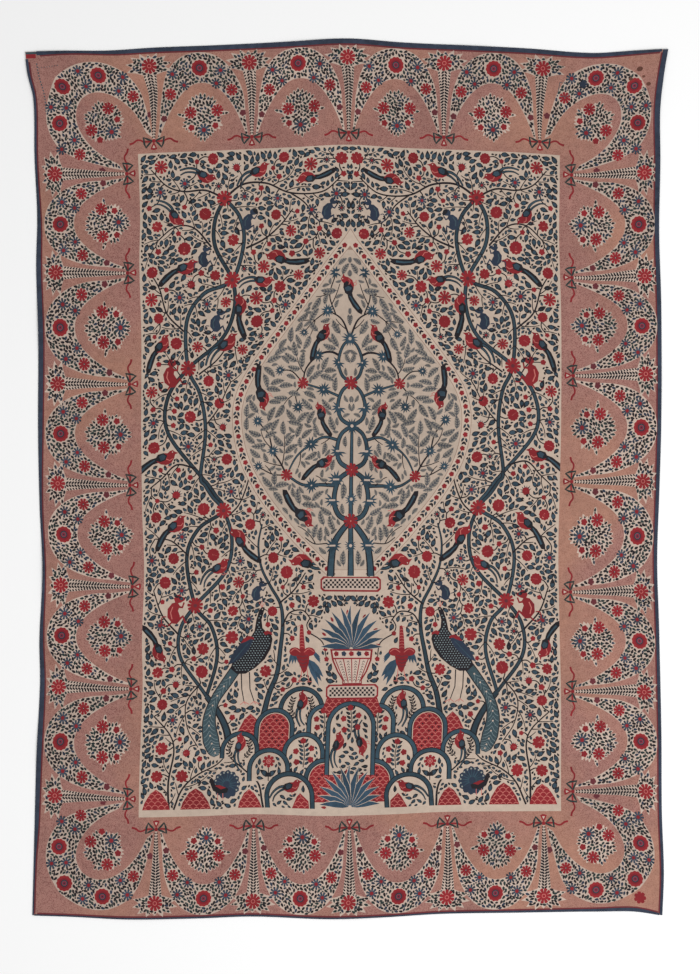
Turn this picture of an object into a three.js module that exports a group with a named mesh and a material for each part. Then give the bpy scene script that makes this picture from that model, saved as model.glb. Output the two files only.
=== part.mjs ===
// Painted and dyed cotton panel, laid out flat and face up.
// Units are millimetres and +Z is up. The origin lies on the surface under the middle of the
// panel's bounding box, with the width along X and the top of the design towards +Y.

import * as THREE from "three";

// Driving dimensions
const CLOTH_THICK = 1.2;
const BINDING_THICK = 1.0;
const GAP = 0.3; // clearance between the cloth and the strip folded over its edge
const FOLD_SWELL = 0.6; // how far the strip's folded edge rounds out
const RIM = 27; // width of the level margin that the strip folds over
const GRID_STEP = 100; // spacing of the sheet's grid lines

const SHEET_LIFT = GAP + BINDING_THICK; // the strip's lower leg holds the cloth's edge up

// The four corners of the cloth, as it lies
const CORNER = {
  topLeft: { x: -1317, y: 1748 },
  topRight: { x: 1317, y: 1760 },
  bottomRight: { x: 1293, y: -1790 },
  bottomLeft: { x: -1286, y: -1790 },
};

// How far each edge stands out from the straight line between its corners.
// `along` runs from 0 to 1, to the right or downwards.
const TOP_EDGE = [
  { along: 0.0, out: 0 },
  { along: 0.06, out: 3 },
  { along: 0.13, out: 3 },
  { along: 0.2, out: 14 },
  { along: 0.3, out: 23 },
  { along: 0.41, out: 36 },
  { along: 0.5, out: 48 },
  { along: 0.59, out: 30 },
  { along: 0.68, out: 18 },
  { along: 0.78, out: 4 },
  { along: 0.88, out: -16 },
  { along: 0.95, out: -7 },
  { along: 1.0, out: 0 },
];
const BOTTOM_EDGE = [
  { along: 0.0, out: 0 },
  { along: 0.06, out: 5 },
  { along: 0.15, out: 16 },
  { along: 0.26, out: 12 },
  { along: 0.35, out: 4 },
  { along: 0.47, out: 15 },
  { along: 0.56, out: 7 },
  { along: 0.65, out: -7 },
  { along: 0.77, out: -12 },
  { along: 0.9, out: -17 },
  { along: 0.955, out: -17 },
  { along: 1.0, out: 0 },
];
const LEFT_EDGE = [
  { along: 0.0, out: 0 },
  { along: 0.025, out: -10 },
  { along: 0.055, out: -34 },
  { along: 0.12, out: -36 },
  { along: 0.19, out: -45 },
  { along: 0.25, out: -39 },
  { along: 0.33, out: -45 },
  { along: 0.44, out: -41 },
  { along: 0.53, out: -45 },
  { along: 0.6, out: -54 },
  { along: 0.68, out: -39 },
  { along: 0.73, out: -40 },
  { along: 0.82, out: -22 },
  { along: 0.9, out: -12 },
  { along: 1.0, out: 0 },
];
const RIGHT_EDGE = [
  { along: 0.0, out: 0 },
  { along: 0.03, out: -17 },
  { along: 0.07, out: -31 },
  { along: 0.13, out: -29 },
  { along: 0.21, out: -32 },
  { along: 0.3, out: -21 },
  { along: 0.43, out: -18 },
  { along: 0.51, out: -24 },
  { along: 0.59, out: -31 },
  { along: 0.68, out: -20 },
  { along: 0.79, out: -9 },
  { along: 0.88, out: -5 },
  { along: 0.95, out: 5 },
  { along: 1.0, out: 0 },
];

// Soft swells where the cloth doesn't lie quite flat: the middle of each, its half length
// along `turn` degrees from +X, its half width across that, and its height.
const SWELLS = [
  { x: -1150, y: 1560, turn: 130, halfLength: 420, halfWidth: 190, height: 5 },
  { x: 1160, y: 1580, turn: 50, halfLength: 400, halfWidth: 180, height: 4.5 },
  { x: -180, y: 1600, turn: 84, halfLength: 360, halfWidth: 210, height: 4 },
  { x: 520, y: 1650, turn: 97, halfLength: 260, halfWidth: 170, height: 3.5 },
  { x: -1180, y: 640, turn: 8, halfLength: 330, halfWidth: 170, height: 4 },
  { x: -1130, y: -370, turn: -6, halfLength: 400, halfWidth: 190, height: 5 },
  { x: -1150, y: -1080, turn: 12, halfLength: 300, halfWidth: 160, height: 3.5 },
  { x: 1140, y: 420, turn: -9, halfLength: 320, halfWidth: 180, height: 4 },
  { x: 1130, y: -560, turn: 7, halfLength: 360, halfWidth: 170, height: 4.5 },
  { x: 1060, y: -1640, turn: 118, halfLength: 330, halfWidth: 170, height: 6 },
  { x: 60, y: -1650, turn: 88, halfLength: 280, halfWidth: 190, height: 3.5 },
  { x: -820, y: -1620, turn: 76, halfLength: 280, halfWidth: 180, height: 4 },
];

// The blue strips folded over the edges. `face` is how wide each lies on the front, and on the
// back alike. `from` and `to` are how far the strip stops short of the edge's start and end.
const TOP_BINDING = {
  from: 46,
  to: 23,
  face: [
    { along: 0.0, wide: 17 },
    { along: 0.08, wide: 9 },
    { along: 0.16, wide: 15 },
    { along: 0.45, wide: 18 },
    { along: 0.7, wide: 17 },
    { along: 0.93, wide: 14 },
    { along: 1.0, wide: 8 },
  ],
};
const BOTTOM_BINDING = {
  from: 6,
  to: 11,
  face: [
    { along: 0.0, wide: 4 },
    { along: 0.3, wide: 6 },
    { along: 0.6, wide: 5 },
    { along: 0.88, wide: 9 },
    { along: 0.96, wide: 13 },
    { along: 1.0, wide: 6 },
  ],
};
const LEFT_BINDING = {
  from: 30,
  to: 0,
  face: [
    { along: 0.0, wide: 9 },
    { along: 0.15, wide: 8 },
    { along: 0.24, wide: 17 },
    { along: 0.42, wide: 17 },
    { along: 0.52, wide: 8 },
    { along: 0.62, wide: 9 },
    { along: 0.76, wide: 18 },
    { along: 0.89, wide: 15 },
    { along: 0.94, wide: 6 },
    { along: 1.0, wide: 4 },
  ],
};
const RIGHT_BINDING = {
  from: 0,
  to: 0,
  face: [
    { along: 0.0, wide: 19 },
    { along: 0.06, wide: 21 },
    { along: 0.2, wide: 17 },
    { along: 0.5, wide: 13 },
    { along: 0.8, wide: 11 },
    { along: 1.0, wide: 9 },
  ],
};

// The value of one named column of a table at a place along it, as a smooth curve through its rows.
function alongTable(rows, column, t) {
  let i = 0;
  while (i < rows.length - 2 && t > rows[i + 1].along) i += 1;
  const before = rows[Math.max(i - 1, 0)];
  const start = rows[i];
  const end = rows[i + 1];
  const after = rows[Math.min(i + 2, rows.length - 1)];
  const span = end.along - start.along;
  const startSlope = (end[column] - before[column]) / (end.along - before.along);
  const endSlope = (after[column] - start[column]) / (after.along - start.along);
  const s = THREE.MathUtils.clamp((t - start.along) / span, 0, 1);
  const s2 = s * s;
  const s3 = s2 * s;
  return (
    (2 * s3 - 3 * s2 + 1) * start[column] +
    (s3 - 2 * s2 + s) * span * startSlope +
    (3 * s2 - 2 * s3) * end[column] +
    (s3 - s2) * span * endSlope
  );
}

// A point on one edge: the straight line between two corners, moved outwards by the edge's table.
function edgePoint(start, end, rows, outward, t) {
  const out = alongTable(rows, "out", t);
  return new THREE.Vector2(
    start.x + (end.x - start.x) * t + outward.x * out,
    start.y + (end.y - start.y) * t + outward.y * out,
  );
}

// The sheet's plan: u runs to the right, v runs down, and the four edges blend across the middle.
function planPoint(u, v) {
  const { topLeft, topRight, bottomLeft, bottomRight } = CORNER;
  const top = edgePoint(topLeft, topRight, TOP_EDGE, { x: 0, y: 1 }, u);
  const bottom = edgePoint(bottomLeft, bottomRight, BOTTOM_EDGE, { x: 0, y: -1 }, u);
  const left = edgePoint(topLeft, bottomLeft, LEFT_EDGE, { x: -1, y: 0 }, v);
  const right = edgePoint(topRight, bottomRight, RIGHT_EDGE, { x: 1, y: 0 }, v);
  const between = (axis) =>
    (1 - v) * top[axis] + v * bottom[axis] + (1 - u) * left[axis] + u * right[axis] -
    (1 - u) * (1 - v) * topLeft[axis] - u * (1 - v) * topRight[axis] -
    (1 - u) * v * bottomLeft[axis] - u * v * bottomRight[axis];
  return new THREE.Vector2(between("x"), between("y"));
}

// The height of all swells at a point of the plan. Each falls smoothly to nothing at its rim.
function swellHeight(point) {
  let height = 0;
  for (const swell of SWELLS) {
    const turn = THREE.MathUtils.degToRad(swell.turn);
    const dx = point.x - swell.x;
    const dy = point.y - swell.y;
    const lengthwise = (dx * Math.cos(turn) + dy * Math.sin(turn)) / swell.halfLength;
    const across = (dy * Math.cos(turn) - dx * Math.sin(turn)) / swell.halfWidth;
    const reach = 1 - lengthwise * lengthwise - across * across;
    if (reach > 0) height += swell.height * reach * reach;
  }
  return height;
}

const WIDTH = CORNER.topRight.x - CORNER.topLeft.x;
const LENGTH = CORNER.topLeft.y - CORNER.bottomLeft.y;
const RIM_U = RIM / WIDTH;
const RIM_V = RIM / LENGTH;

// Grid lines from 0 to 1: the rim lines, the ends of the strips, and even steps between.
function gridLines(length, rim, stops) {
  const steps = Math.round(length / GRID_STEP);
  const even = Array.from({ length: steps + 1 }, (_, i) => rim + ((1 - 2 * rim) * i) / steps);
  return [...new Set([0, 1, ...stops, ...even])].sort((a, b) => a - b);
}

const uLines = gridLines(WIDTH, RIM_U, [
  TOP_BINDING.from / WIDTH,
  1 - TOP_BINDING.to / WIDTH,
  BOTTOM_BINDING.from / WIDTH,
  1 - BOTTOM_BINDING.to / WIDTH,
]);
const vLines = gridLines(LENGTH, RIM_V, [LEFT_BINDING.from / LENGTH]);

// The underside of the cloth at (u, v). The rim is level across its width and stays on the
// strip's lower leg. Inside the next grid line the cloth lies on the surface.
function undersidePoint(u, v) {
  const point = planPoint(u, v);
  const rimU = THREE.MathUtils.clamp(u, RIM_U, 1 - RIM_U);
  const rimV = THREE.MathUtils.clamp(v, RIM_V, 1 - RIM_V);
  const inside = Math.min(
    (rimU - RIM_U) * WIDTH,
    (1 - RIM_U - rimU) * WIDTH,
    (rimV - RIM_V) * LENGTH,
    (1 - RIM_V - rimV) * LENGTH,
  );
  const lift = SHEET_LIFT * Math.max(0, 1 - inside / GRID_STEP);
  return new THREE.Vector3(point.x, point.y, lift + swellHeight(planPoint(rimU, rimV)));
}

// A closed solid from flat lists of points and of triangles that share them.
function solidMesh(name, points, triangles, material) {
  const geometry = new THREE.BufferGeometry();
  const positions = points.flatMap((p) => [p.x, p.y, p.z]);
  geometry.setAttribute("position", new THREE.Float32BufferAttribute(positions, 3));
  geometry.setIndex(triangles.flat());
  geometry.computeVertexNormals();
  const mesh = new THREE.Mesh(geometry, material);
  mesh.name = name;
  return mesh;
}

// The sheet: one layer of points underneath, one above, and a wall around the edge.
function clothMesh(material) {
  const columns = uLines.length;
  const rows = vLines.length;
  const layer = columns * rows;
  const under = vLines.flatMap((v) => uLines.map((u) => undersidePoint(u, v)));
  const above = under.map((p) => p.clone().setZ(p.z + CLOTH_THICK));
  const triangles = [];
  for (let row = 0; row < rows - 1; row += 1) {
    for (let column = 0; column < columns - 1; column += 1) {
      const a = row * columns + column;
      const b = a + 1;
      const c = a + columns;
      const d = c + 1;
      triangles.push([a, b, d], [a, d, c]);
      triangles.push([layer + a, layer + d, layer + b], [layer + a, layer + c, layer + d]);
    }
  }
  const loop = [];
  for (let column = 0; column < columns - 1; column += 1) loop.push(column);
  for (let row = 0; row < rows - 1; row += 1) loop.push(row * columns + columns - 1);
  for (let column = columns - 1; column > 0; column -= 1) loop.push((rows - 1) * columns + column);
  for (let row = rows - 1; row > 0; row -= 1) loop.push(row * columns);
  loop.forEach((a, i) => {
    const b = loop[(i + 1) % loop.length];
    triangles.push([b, a, layer + a], [b, layer + a, layer + b]);
  });
  return solidMesh("cloth", [...under, ...above], triangles, material);
}

// The strip's section, folded round the cloth's edge with one leg below and one above.
// `inside` is measured inwards from the edge, and `z` up from the cloth's underside.
function bindingProfile(wide) {
  const low = -GAP - BINDING_THICK;
  const high = CLOTH_THICK + GAP + BINDING_THICK;
  return [
    { inside: low - FOLD_SWELL, z: CLOTH_THICK / 2 },
    { inside: low, z: low },
    { inside: wide, z: low },
    { inside: wide, z: -GAP },
    { inside: -GAP, z: -GAP },
    { inside: -GAP, z: CLOTH_THICK + GAP },
    { inside: wide, z: CLOTH_THICK + GAP },
    { inside: wide, z: high },
    { inside: low, z: high },
  ];
}

// The profile set at one place of the edge: `edge` is the underside of the cloth's edge, and
// `inner` is the same point moved in to the rim line.
function bindingSection(edge, inner, wide) {
  const inward = inner.clone().sub(edge).setZ(0).normalize();
  return bindingProfile(wide).map(({ inside, z }) => {
    const point = edge.clone().addScaledVector(inward, inside);
    return point.setZ(edge.z + z);
  });
}

// A strip along one edge. `place` gives the underside of the cloth at (along, depth), and
// `clockwise` says which way the edge runs round the cloth, seen from above.
function bindingMesh(name, lines, length, binding, place, clockwise, material) {
  const from = binding.from / length;
  const to = 1 - binding.to / length;
  const stations = lines.filter((t) => t >= from && t <= to);
  const sections = stations.map((t) => {
    const wide = alongTable(binding.face, "wide", t);
    return bindingSection(place(t, 0), place(t, 1), wide);
  });
  const sides = sections[0].length;
  const triangles = [];
  for (let i = 0; i < sections.length - 1; i += 1) {
    for (let side = 0; side < sides; side += 1) {
      const a = i * sides + side;
      const b = i * sides + ((side + 1) % sides);
      triangles.push([a, b, b + sides], [a, b + sides, a + sides]);
    }
  }
  const outline = bindingProfile(RIM).map(({ inside, z }) => new THREE.Vector2(inside, z));
  const last = (sections.length - 1) * sides;
  for (const [a, b, c] of THREE.ShapeUtils.triangulateShape(outline, [])) {
    triangles.push([a, c, b], [last + a, last + b, last + c]);
  }
  const facing = clockwise ? triangles.map(([a, b, c]) => [a, c, b]) : triangles;
  return solidMesh(name, sections.flat(), facing, material);
}

const dyedCotton = new THREE.MeshStandardMaterial({ color: 0xa5806d, roughness: 0.92, metalness: 0 });
const blueCotton = new THREE.MeshStandardMaterial({ color: 0x2c3446, roughness: 0.9, metalness: 0 });

const topPlace = (u, depth) => undersidePoint(u, depth * RIM_V);
const bottomPlace = (u, depth) => undersidePoint(u, 1 - depth * RIM_V);
const leftPlace = (v, depth) => undersidePoint(depth * RIM_U, v);
const rightPlace = (v, depth) => undersidePoint(1 - depth * RIM_U, v);

const panel = new THREE.Group();
panel.add(
  clothMesh(dyedCotton),
  bindingMesh("binding_top", uLines, WIDTH, TOP_BINDING, topPlace, true, blueCotton),
  bindingMesh("binding_bottom", uLines, WIDTH, BOTTOM_BINDING, bottomPlace, false, blueCotton),
  bindingMesh("binding_left", vLines, LENGTH, LEFT_BINDING, leftPlace, false, blueCotton),
  bindingMesh("binding_right", vLines, LENGTH, RIGHT_BINDING, rightPlace, true, blueCotton),
);

// Set the origin under the middle of the whole panel
const middle = new THREE.Box3().setFromObject(panel).getCenter(new THREE.Vector3());
for (const mesh of panel.children) mesh.position.set(-middle.x, -middle.y, 0);

export default panel;
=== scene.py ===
"""A large painted and dyed cotton panel with a narrow blue binding, lying flat and face up.

The cloth is cut by the edges of its own painted shapes, so each leaf, flower and bird is a patch
of the cloth with its own dye. Design sizes are in millimetres: x to the right and y up from the
middle of the panel. Blender objects are in metres.
"""
import math
from functools import partial
import bmesh
import bpy
import numpy as np
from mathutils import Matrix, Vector
from mathutils.geometry import delaunay_2d_cdt


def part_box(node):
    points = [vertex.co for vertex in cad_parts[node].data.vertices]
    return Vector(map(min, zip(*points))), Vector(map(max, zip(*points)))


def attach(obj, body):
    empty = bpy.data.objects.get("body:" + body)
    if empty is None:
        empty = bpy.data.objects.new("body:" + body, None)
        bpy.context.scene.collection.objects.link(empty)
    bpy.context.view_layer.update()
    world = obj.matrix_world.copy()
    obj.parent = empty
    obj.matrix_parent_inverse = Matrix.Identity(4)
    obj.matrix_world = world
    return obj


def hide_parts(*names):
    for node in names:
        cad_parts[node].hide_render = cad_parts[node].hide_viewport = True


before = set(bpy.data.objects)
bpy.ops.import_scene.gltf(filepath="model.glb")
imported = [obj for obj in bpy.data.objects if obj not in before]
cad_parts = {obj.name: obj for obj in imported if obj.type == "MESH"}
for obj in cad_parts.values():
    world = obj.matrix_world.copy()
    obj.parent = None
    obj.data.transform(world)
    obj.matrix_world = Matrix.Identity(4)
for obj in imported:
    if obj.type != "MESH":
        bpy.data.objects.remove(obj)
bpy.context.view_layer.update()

MM = 0.001
rng = np.random.default_rng(7)


# The cloth's outline and lie, the same as in the solids

CLOTH_THICK = 1.2
BINDING_THICK = 1.0
GAP = 0.3  # clear space between the cloth and a strip
RIM = 27  # how far in from its edge the cloth keeps one height
SLOPE = 100  # over this distance it comes down from the strips' height to the ground
SHEET_LIFT = GAP + BINDING_THICK

TOP_LEFT, TOP_RIGHT = np.array([-1317.0, 1748.0]), np.array([1317.0, 1760.0])
BOTTOM_LEFT, BOTTOM_RIGHT = np.array([-1286.0, -1790.0]), np.array([1293.0, -1790.0])
WIDTH = TOP_RIGHT[0] - TOP_LEFT[0]
LENGTH = TOP_LEFT[1] - BOTTOM_LEFT[1]

# Rows of (along the edge from 0 to 1, to the right or downwards; how far it stands out)
TOP_EDGE = [(0, 0), (0.06, 3), (0.13, 3), (0.2, 14), (0.3, 23), (0.41, 36), (0.5, 48), (0.59, 30),
            (0.68, 18), (0.78, 4), (0.88, -16), (0.95, -7), (1, 0)]
BOTTOM_EDGE = [(0, 0), (0.06, 5), (0.15, 16), (0.26, 12), (0.35, 4), (0.47, 15), (0.56, 7),
               (0.65, -7), (0.77, -12), (0.9, -17), (0.955, -17), (1, 0)]
LEFT_EDGE = [(0, 0), (0.025, -10), (0.055, -34), (0.12, -36), (0.19, -45), (0.25, -39), (0.33, -45),
             (0.44, -41), (0.53, -45), (0.6, -54), (0.68, -39), (0.73, -40), (0.82, -22), (0.9, -12),
             (1, 0)]
RIGHT_EDGE = [(0, 0), (0.03, -17), (0.07, -31), (0.13, -29), (0.21, -32), (0.3, -21), (0.43, -18),
              (0.51, -24), (0.59, -31), (0.68, -20), (0.79, -9), (0.88, -5), (0.95, 5), (1, 0)]

# Rows of (x, y, turn in degrees, half length, half width, height)
SWELLS = [
    (-1150, 1560, 130, 420, 190, 5), (1160, 1580, 50, 400, 180, 4.5), (-180, 1600, 84, 360, 210, 4),
    (520, 1650, 97, 260, 170, 3.5), (-1180, 640, 8, 330, 170, 4), (-1130, -370, -6, 400, 190, 5),
    (-1150, -1080, 12, 300, 160, 3.5), (1140, 420, -9, 320, 180, 4), (1130, -560, 7, 360, 170, 4.5),
    (1060, -1640, 118, 330, 170, 6), (60, -1650, 88, 280, 190, 3.5), (-820, -1620, 76, 280, 180, 4),
]

# How wide each blue strip lies on the face: rows of (along, wide), and where it starts and stops
BINDINGS = {
    "top": {"from": 46, "to": 23, "face": [(0, 17), (0.08, 9), (0.16, 15), (0.45, 18), (0.7, 17),
                                           (0.93, 14), (1, 8)]},
    "bottom": {"from": 6, "to": 11, "face": [(0, 4), (0.3, 6), (0.6, 5), (0.88, 9), (0.96, 13), (1, 6)]},
    "left": {"from": 30, "to": 0, "face": [(0, 9), (0.15, 8), (0.24, 17), (0.42, 17), (0.52, 8),
                                           (0.62, 9), (0.76, 18), (0.89, 15), (0.94, 6), (1, 4)]},
    "right": {"from": 0, "to": 0, "face": [(0, 19), (0.06, 21), (0.2, 17), (0.5, 13), (0.8, 11), (1, 9)]},
}


def smooth_table(rows, t):
    """The smooth curve through the rows of a table, at the places t along it."""
    along, value = np.array(rows, float).T
    t = np.clip(np.asarray(t, float), 0, 1)
    start = np.searchsorted(along[1:-1], t, side="left")
    end = start + 1
    before, after = np.maximum(start - 1, 0), np.minimum(start + 2, len(rows) - 1)
    span = along[end] - along[start]
    start_slope = (value[end] - value[before]) / (along[end] - along[before])
    end_slope = (value[after] - value[start]) / (along[after] - along[start])
    s = (t - along[start]) / span
    return ((2 * s**3 - 3 * s**2 + 1) * value[start] + (s**3 - 2 * s**2 + s) * span * start_slope
            + (3 * s**2 - 2 * s**3) * value[end] + (s**3 - s**2) * span * end_slope)


def edge_points(start, end, rows, outward, t):
    out = smooth_table(rows, t)[:, None]
    return start + (end - start) * t[:, None] + np.array(outward) * out


def plan(u, v):
    """Where the sheet lies in plan: u runs to the right, v runs down."""
    top = edge_points(TOP_LEFT, TOP_RIGHT, TOP_EDGE, (0, 1), u)
    bottom = edge_points(BOTTOM_LEFT, BOTTOM_RIGHT, BOTTOM_EDGE, (0, -1), u)
    left = edge_points(TOP_LEFT, BOTTOM_LEFT, LEFT_EDGE, (-1, 0), v)
    right = edge_points(TOP_RIGHT, BOTTOM_RIGHT, RIGHT_EDGE, (1, 0), v)
    u, v = u[:, None], v[:, None]
    return ((1 - v) * top + v * bottom + (1 - u) * left + u * right
            - (1 - u) * (1 - v) * TOP_LEFT - u * (1 - v) * TOP_RIGHT
            - (1 - u) * v * BOTTOM_LEFT - u * v * BOTTOM_RIGHT)


def swell_height(points):
    height = np.zeros(len(points))
    for x, y, turn, half_length, half_width, rise in SWELLS:
        c, s = math.cos(math.radians(turn)), math.sin(math.radians(turn))
        dx, dy = points[:, 0] - x, points[:, 1] - y
        reach = 1 - ((dx * c + dy * s) / half_length) ** 2 - ((dy * c - dx * s) / half_width) ** 2
        height += rise * np.clip(reach, 0, None) ** 2
    return height


RIM_SAMPLES = 400


def plan_shift():
    """What centres the panel on its bounding box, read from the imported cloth."""
    low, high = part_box("cloth")
    t = np.linspace(0, 1, RIM_SAMPLES)
    zero, one = 0 * t, 0 * t + 1
    rim = np.concatenate([plan(t, zero), plan(t, one), plan(zero, t), plan(one, t)])
    middle = (rim.min(0) + rim.max(0)) / 2
    return np.array([low.x + high.x, low.y + high.y]) / 2 / MM - middle


SHIFT = plan_shift()


def underside(u, v):
    """Points of the cloth's underside, in millimetres. The rim stays on the strip's lower leg."""
    rim_u, rim_v = RIM / WIDTH, RIM / LENGTH
    in_u, in_v = np.clip(u, rim_u, 1 - rim_u), np.clip(v, rim_v, 1 - rim_v)
    inside = np.minimum(np.minimum(in_u - rim_u, 1 - rim_u - in_u) * WIDTH,
                        np.minimum(in_v - rim_v, 1 - rim_v - in_v) * LENGTH)
    lift = SHEET_LIFT * np.clip(1 - inside / SLOPE, 0, 1)
    height = lift + swell_height(plan(in_u, in_v))
    return np.column_stack([plan(u, v) + SHIFT, height])


# The design plane: a true rectangle that the outline above pulls to the cloth's shape

DESIGN_WIDE, DESIGN_LONG = 2620.0, 3560.0
HALF_WIDE, HALF_LONG = DESIGN_WIDE / 2, DESIGN_LONG / 2
FIELD_LEFT, FIELD_RIGHT = -878.0, 890.0
FIELD_TOP, FIELD_BOTTOM = 1352.0, -1364.0
FIELD_MIDDLE = (FIELD_LEFT + FIELD_RIGHT) / 2
WOBBLE = 3.6  # how far the hand-drawn lines of the field stray from a true mirror image
TRUE_WIDE, TRUE_TOP, TRUE_FOOT = 880, 1352, -1350  # lines that they run true to, round the field
TRUE_FADE = 60


def lay(points, height=0.0):
    """Design points laid on the cloth's underside, raised by `height`, in metres."""
    u, v = points[:, 0] / DESIGN_WIDE + 0.5, 0.5 - points[:, 1] / DESIGN_LONG
    laid = underside(np.clip(u, 0, 1), np.clip(v, 0, 1))
    laid[:, 2] += height
    return laid * MM


# Painted shapes

def inside(outline, points):
    """Which points an outline goes round, by winding number."""
    x0, y0 = outline[:, 0], outline[:, 1]
    x1, y1 = np.roll(x0, -1), np.roll(y0, -1)
    px, py = points[:, 0:1], points[:, 1:2]
    up, down = (y0 <= py) & (y1 > py), (y0 > py) & (y1 <= py)
    side = (x1 - x0) * (py - y0) - (px - x0) * (y1 - y0)
    return ((up & (side > 0)).sum(1) - (down & (side < 0)).sum(1)) != 0


class Painting:
    """Closed outlines in design millimetres, each with a dye. A later one covers an earlier one."""

    def __init__(self):
        self.outlines, self.dyes, self.hearts, self.tones, self.zones = [], [], [], [], []
        self.zone, self.hands = "border", (1,)

    def paint(self, dye, outline, heart=None):
        """Field shapes are drawn from the field's middle line, and may be painted on both sides of it."""
        for hand in self.hands:
            points = np.asarray(outline, float)
            middle = None if heart is None else np.atleast_2d(heart)
            if self.zone == "field":
                points = hand_drawn(points * (hand, 1))
                middle = None if heart is None else hand_drawn(middle * (hand, 1))
            self.outlines.append(points)
            self.dyes.append(dye)
            self.hearts.append(None if middle is None else middle[0])
            self.tones.append(rng.random())
            self.zones.append(self.zone == "field")


def hand_drawn(points):
    """Field points as they are painted: each a little off, so that the two sides differ slightly."""
    x, y = points[:, 0], points[:, 1]
    inwards = np.minimum(TRUE_WIDE - np.abs(x), np.minimum(TRUE_TOP - y, y - TRUE_FOOT))
    fade = np.clip(inwards / TRUE_FADE, 0, 1)
    dx = WOBBLE * (np.sin(y / 143 + 0.6) + 0.6 * np.sin(x / 97 + y / 211 + 1.9))
    dy = WOBBLE * (np.sin(x / 131 + 2.2) + 0.6 * np.sin(y / 89 - x / 173))
    return np.column_stack([x + FIELD_MIDDLE + dx * fade, y + dy * fade])


art = Painting()


def unit_vector(angle):
    return np.array([math.cos(angle), math.sin(angle)])


def turned(base, angle, along, across, size=1.0):
    """Points that lie so far along a direction from a base, and so far across it."""
    c, s = math.cos(angle) * size, math.sin(angle) * size
    return np.column_stack([base[0] + along * c - across * s, base[1] + along * s + across * c])


def ring(x, y, turns, wide, high=None):
    """Points of a circle, or of an ellipse, at some turns round its middle."""
    high = wide if high is None else high
    return np.column_stack([x + wide * np.cos(turns), y + high * np.sin(turns)])


def dome(x, y, half_wide, rise, foot, count):
    """The outline of an arch: half an ellipse on straight sides down to its foot."""
    turns = np.linspace(math.pi, 0, count)
    return np.vstack([[x - half_wide, foot], ring(x, y, turns, half_wide, rise), [x + half_wide, foot]])


def box(left, right, bottom, top):
    return [(left, bottom), (right, bottom), (right, top), (left, top)]


def both_sides(upper):
    """The outline of a leaf from its upper side, base to tip: the lower side mirrors it."""
    upper = np.array(upper, float)
    return np.vstack([upper, (upper * (1, -1))[-2:0:-1]])


def mirrored(right):
    """The outline of a thing on a middle line from its right half: the left half mirrors it."""
    right = np.array(right, float)
    return np.vstack([right, (right * (-1, 1))[::-1]])


def whole(points):
    """The place for a motif that is drawn in design points already."""
    return np.atleast_2d(np.asarray(points, float))


def spot(x, y, turn=0.0, size=1.0, flip=1.0):
    """A place for a motif: takes the motif's own points to design points."""
    def put(points):
        along, across = whole(points).T
        return turned((x, y), turn, along * flip, across, size)

    return put


LEAF_OUTLINE = both_sides([(0, 0), (0.2, 0.37), (0.47, 0.46), (0.76, 0.26), (1, 0)])
SMALL_LEAF = both_sides([(0, 0), (0.3, 0.46), (0.68, 0.36), (1, 0)])
TINY_LEAF = both_sides([(0, 0), (0.42, 0.5), (1, 0)])
LEAF_HEART = np.array([0.42, 0])
SMALL_LENGTH, TINY_LENGTH = 26, 12.6  # shorter leaves than these have plainer outlines


def leaf(place, base, angle, length, width, dye="leaf", bend=0.0):
    shape = TINY_LEAF if length < TINY_LENGTH else SMALL_LEAF if length < SMALL_LENGTH else LEAF_OUTLINE
    shape = np.vstack([shape, LEAF_HEART])
    across = shape[:, 1] * width + bend * length * shape[:, 0] * (1 - shape[:, 0])
    points = place(turned(base, angle, shape[:, 0] * length, across))
    art.paint(dye, points[:-1], points[-1] if dye == "leaf" else None)


def disc(place, x, y, radius, dye, sides=10, squash=1.0):
    turns = np.arange(sides) * 2 * math.pi / sides
    art.paint(dye, place(ring(x, y, turns, radius, radius * squash)), place((x, y))[0])


def petals(place, x, y, radius, count, dye, notch=0.7, blunt=0.35, turn=0.0):
    """A flower outline: each petal has two shoulders and a tip, and a notch before the next."""
    step = 2 * math.pi / count
    points = []
    for k in range(count):
        middle = turn + k * step
        for share, reach in ((-0.5, notch), (-blunt, 0.94), (0, 1.0), (blunt, 0.94)):
            points.append((x + radius * reach * math.cos(middle + share * step),
                           y + radius * reach * math.sin(middle + share * step)))
    art.paint(dye, place(points), place((x, y))[0])


# Each kind of flower: its petals, its dye, how deep they part, how broad they are, and how far they reach
FLOWERS = {
    "ringed": (12, "ringed", 0.9, 0.35, 1.0), "open": (9, "open", 0.46, 0.39, 1.08),
    "fan": (10, "rayed", 0.46, 0.39, 1.08), "rayed": (9, "rayed", 0.38, 0.36, 1.0),
    "crossing": (11, "rayed", 0.5, 0.36, 1.0), "rosette": (9, "rosette", 0.42, 0.34, 1.0),
    "full": (11, "full", 0.86, 0.35, 1.0), "layered": (8, "layered", 0.72, 0.35, 1.0),
    "small": (5, "red", 0.72, 0.35, 1.0), "dark": (5, "maroon", 0.72, 0.35, 1.0),
    "blue": (5, "indigo", 0.72, 0.35, 1.0),
}
HAZE_FROM = 17  # daisies larger than this have an inner ring of paler petals


def flower(place, kind, x, y, radius):
    """Paints a flower, turned at random."""
    turn = rng.random()
    if kind == "daisy":
        petals(place, x, y, radius * 1.12, 9, "daisy", 0.4, 0.31, turn)
        if radius > HAZE_FROM:
            petals(place, x, y, radius * 0.98, 9, "haze", 0.38, 0.15, turn)
        petals(place, x, y, radius * 0.38, 5, "red")
    else:
        count, dye, notch, blunt, share = FLOWERS[kind]
        petals(place, x, y, radius * share, count, dye, notch, blunt, turn)


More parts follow.
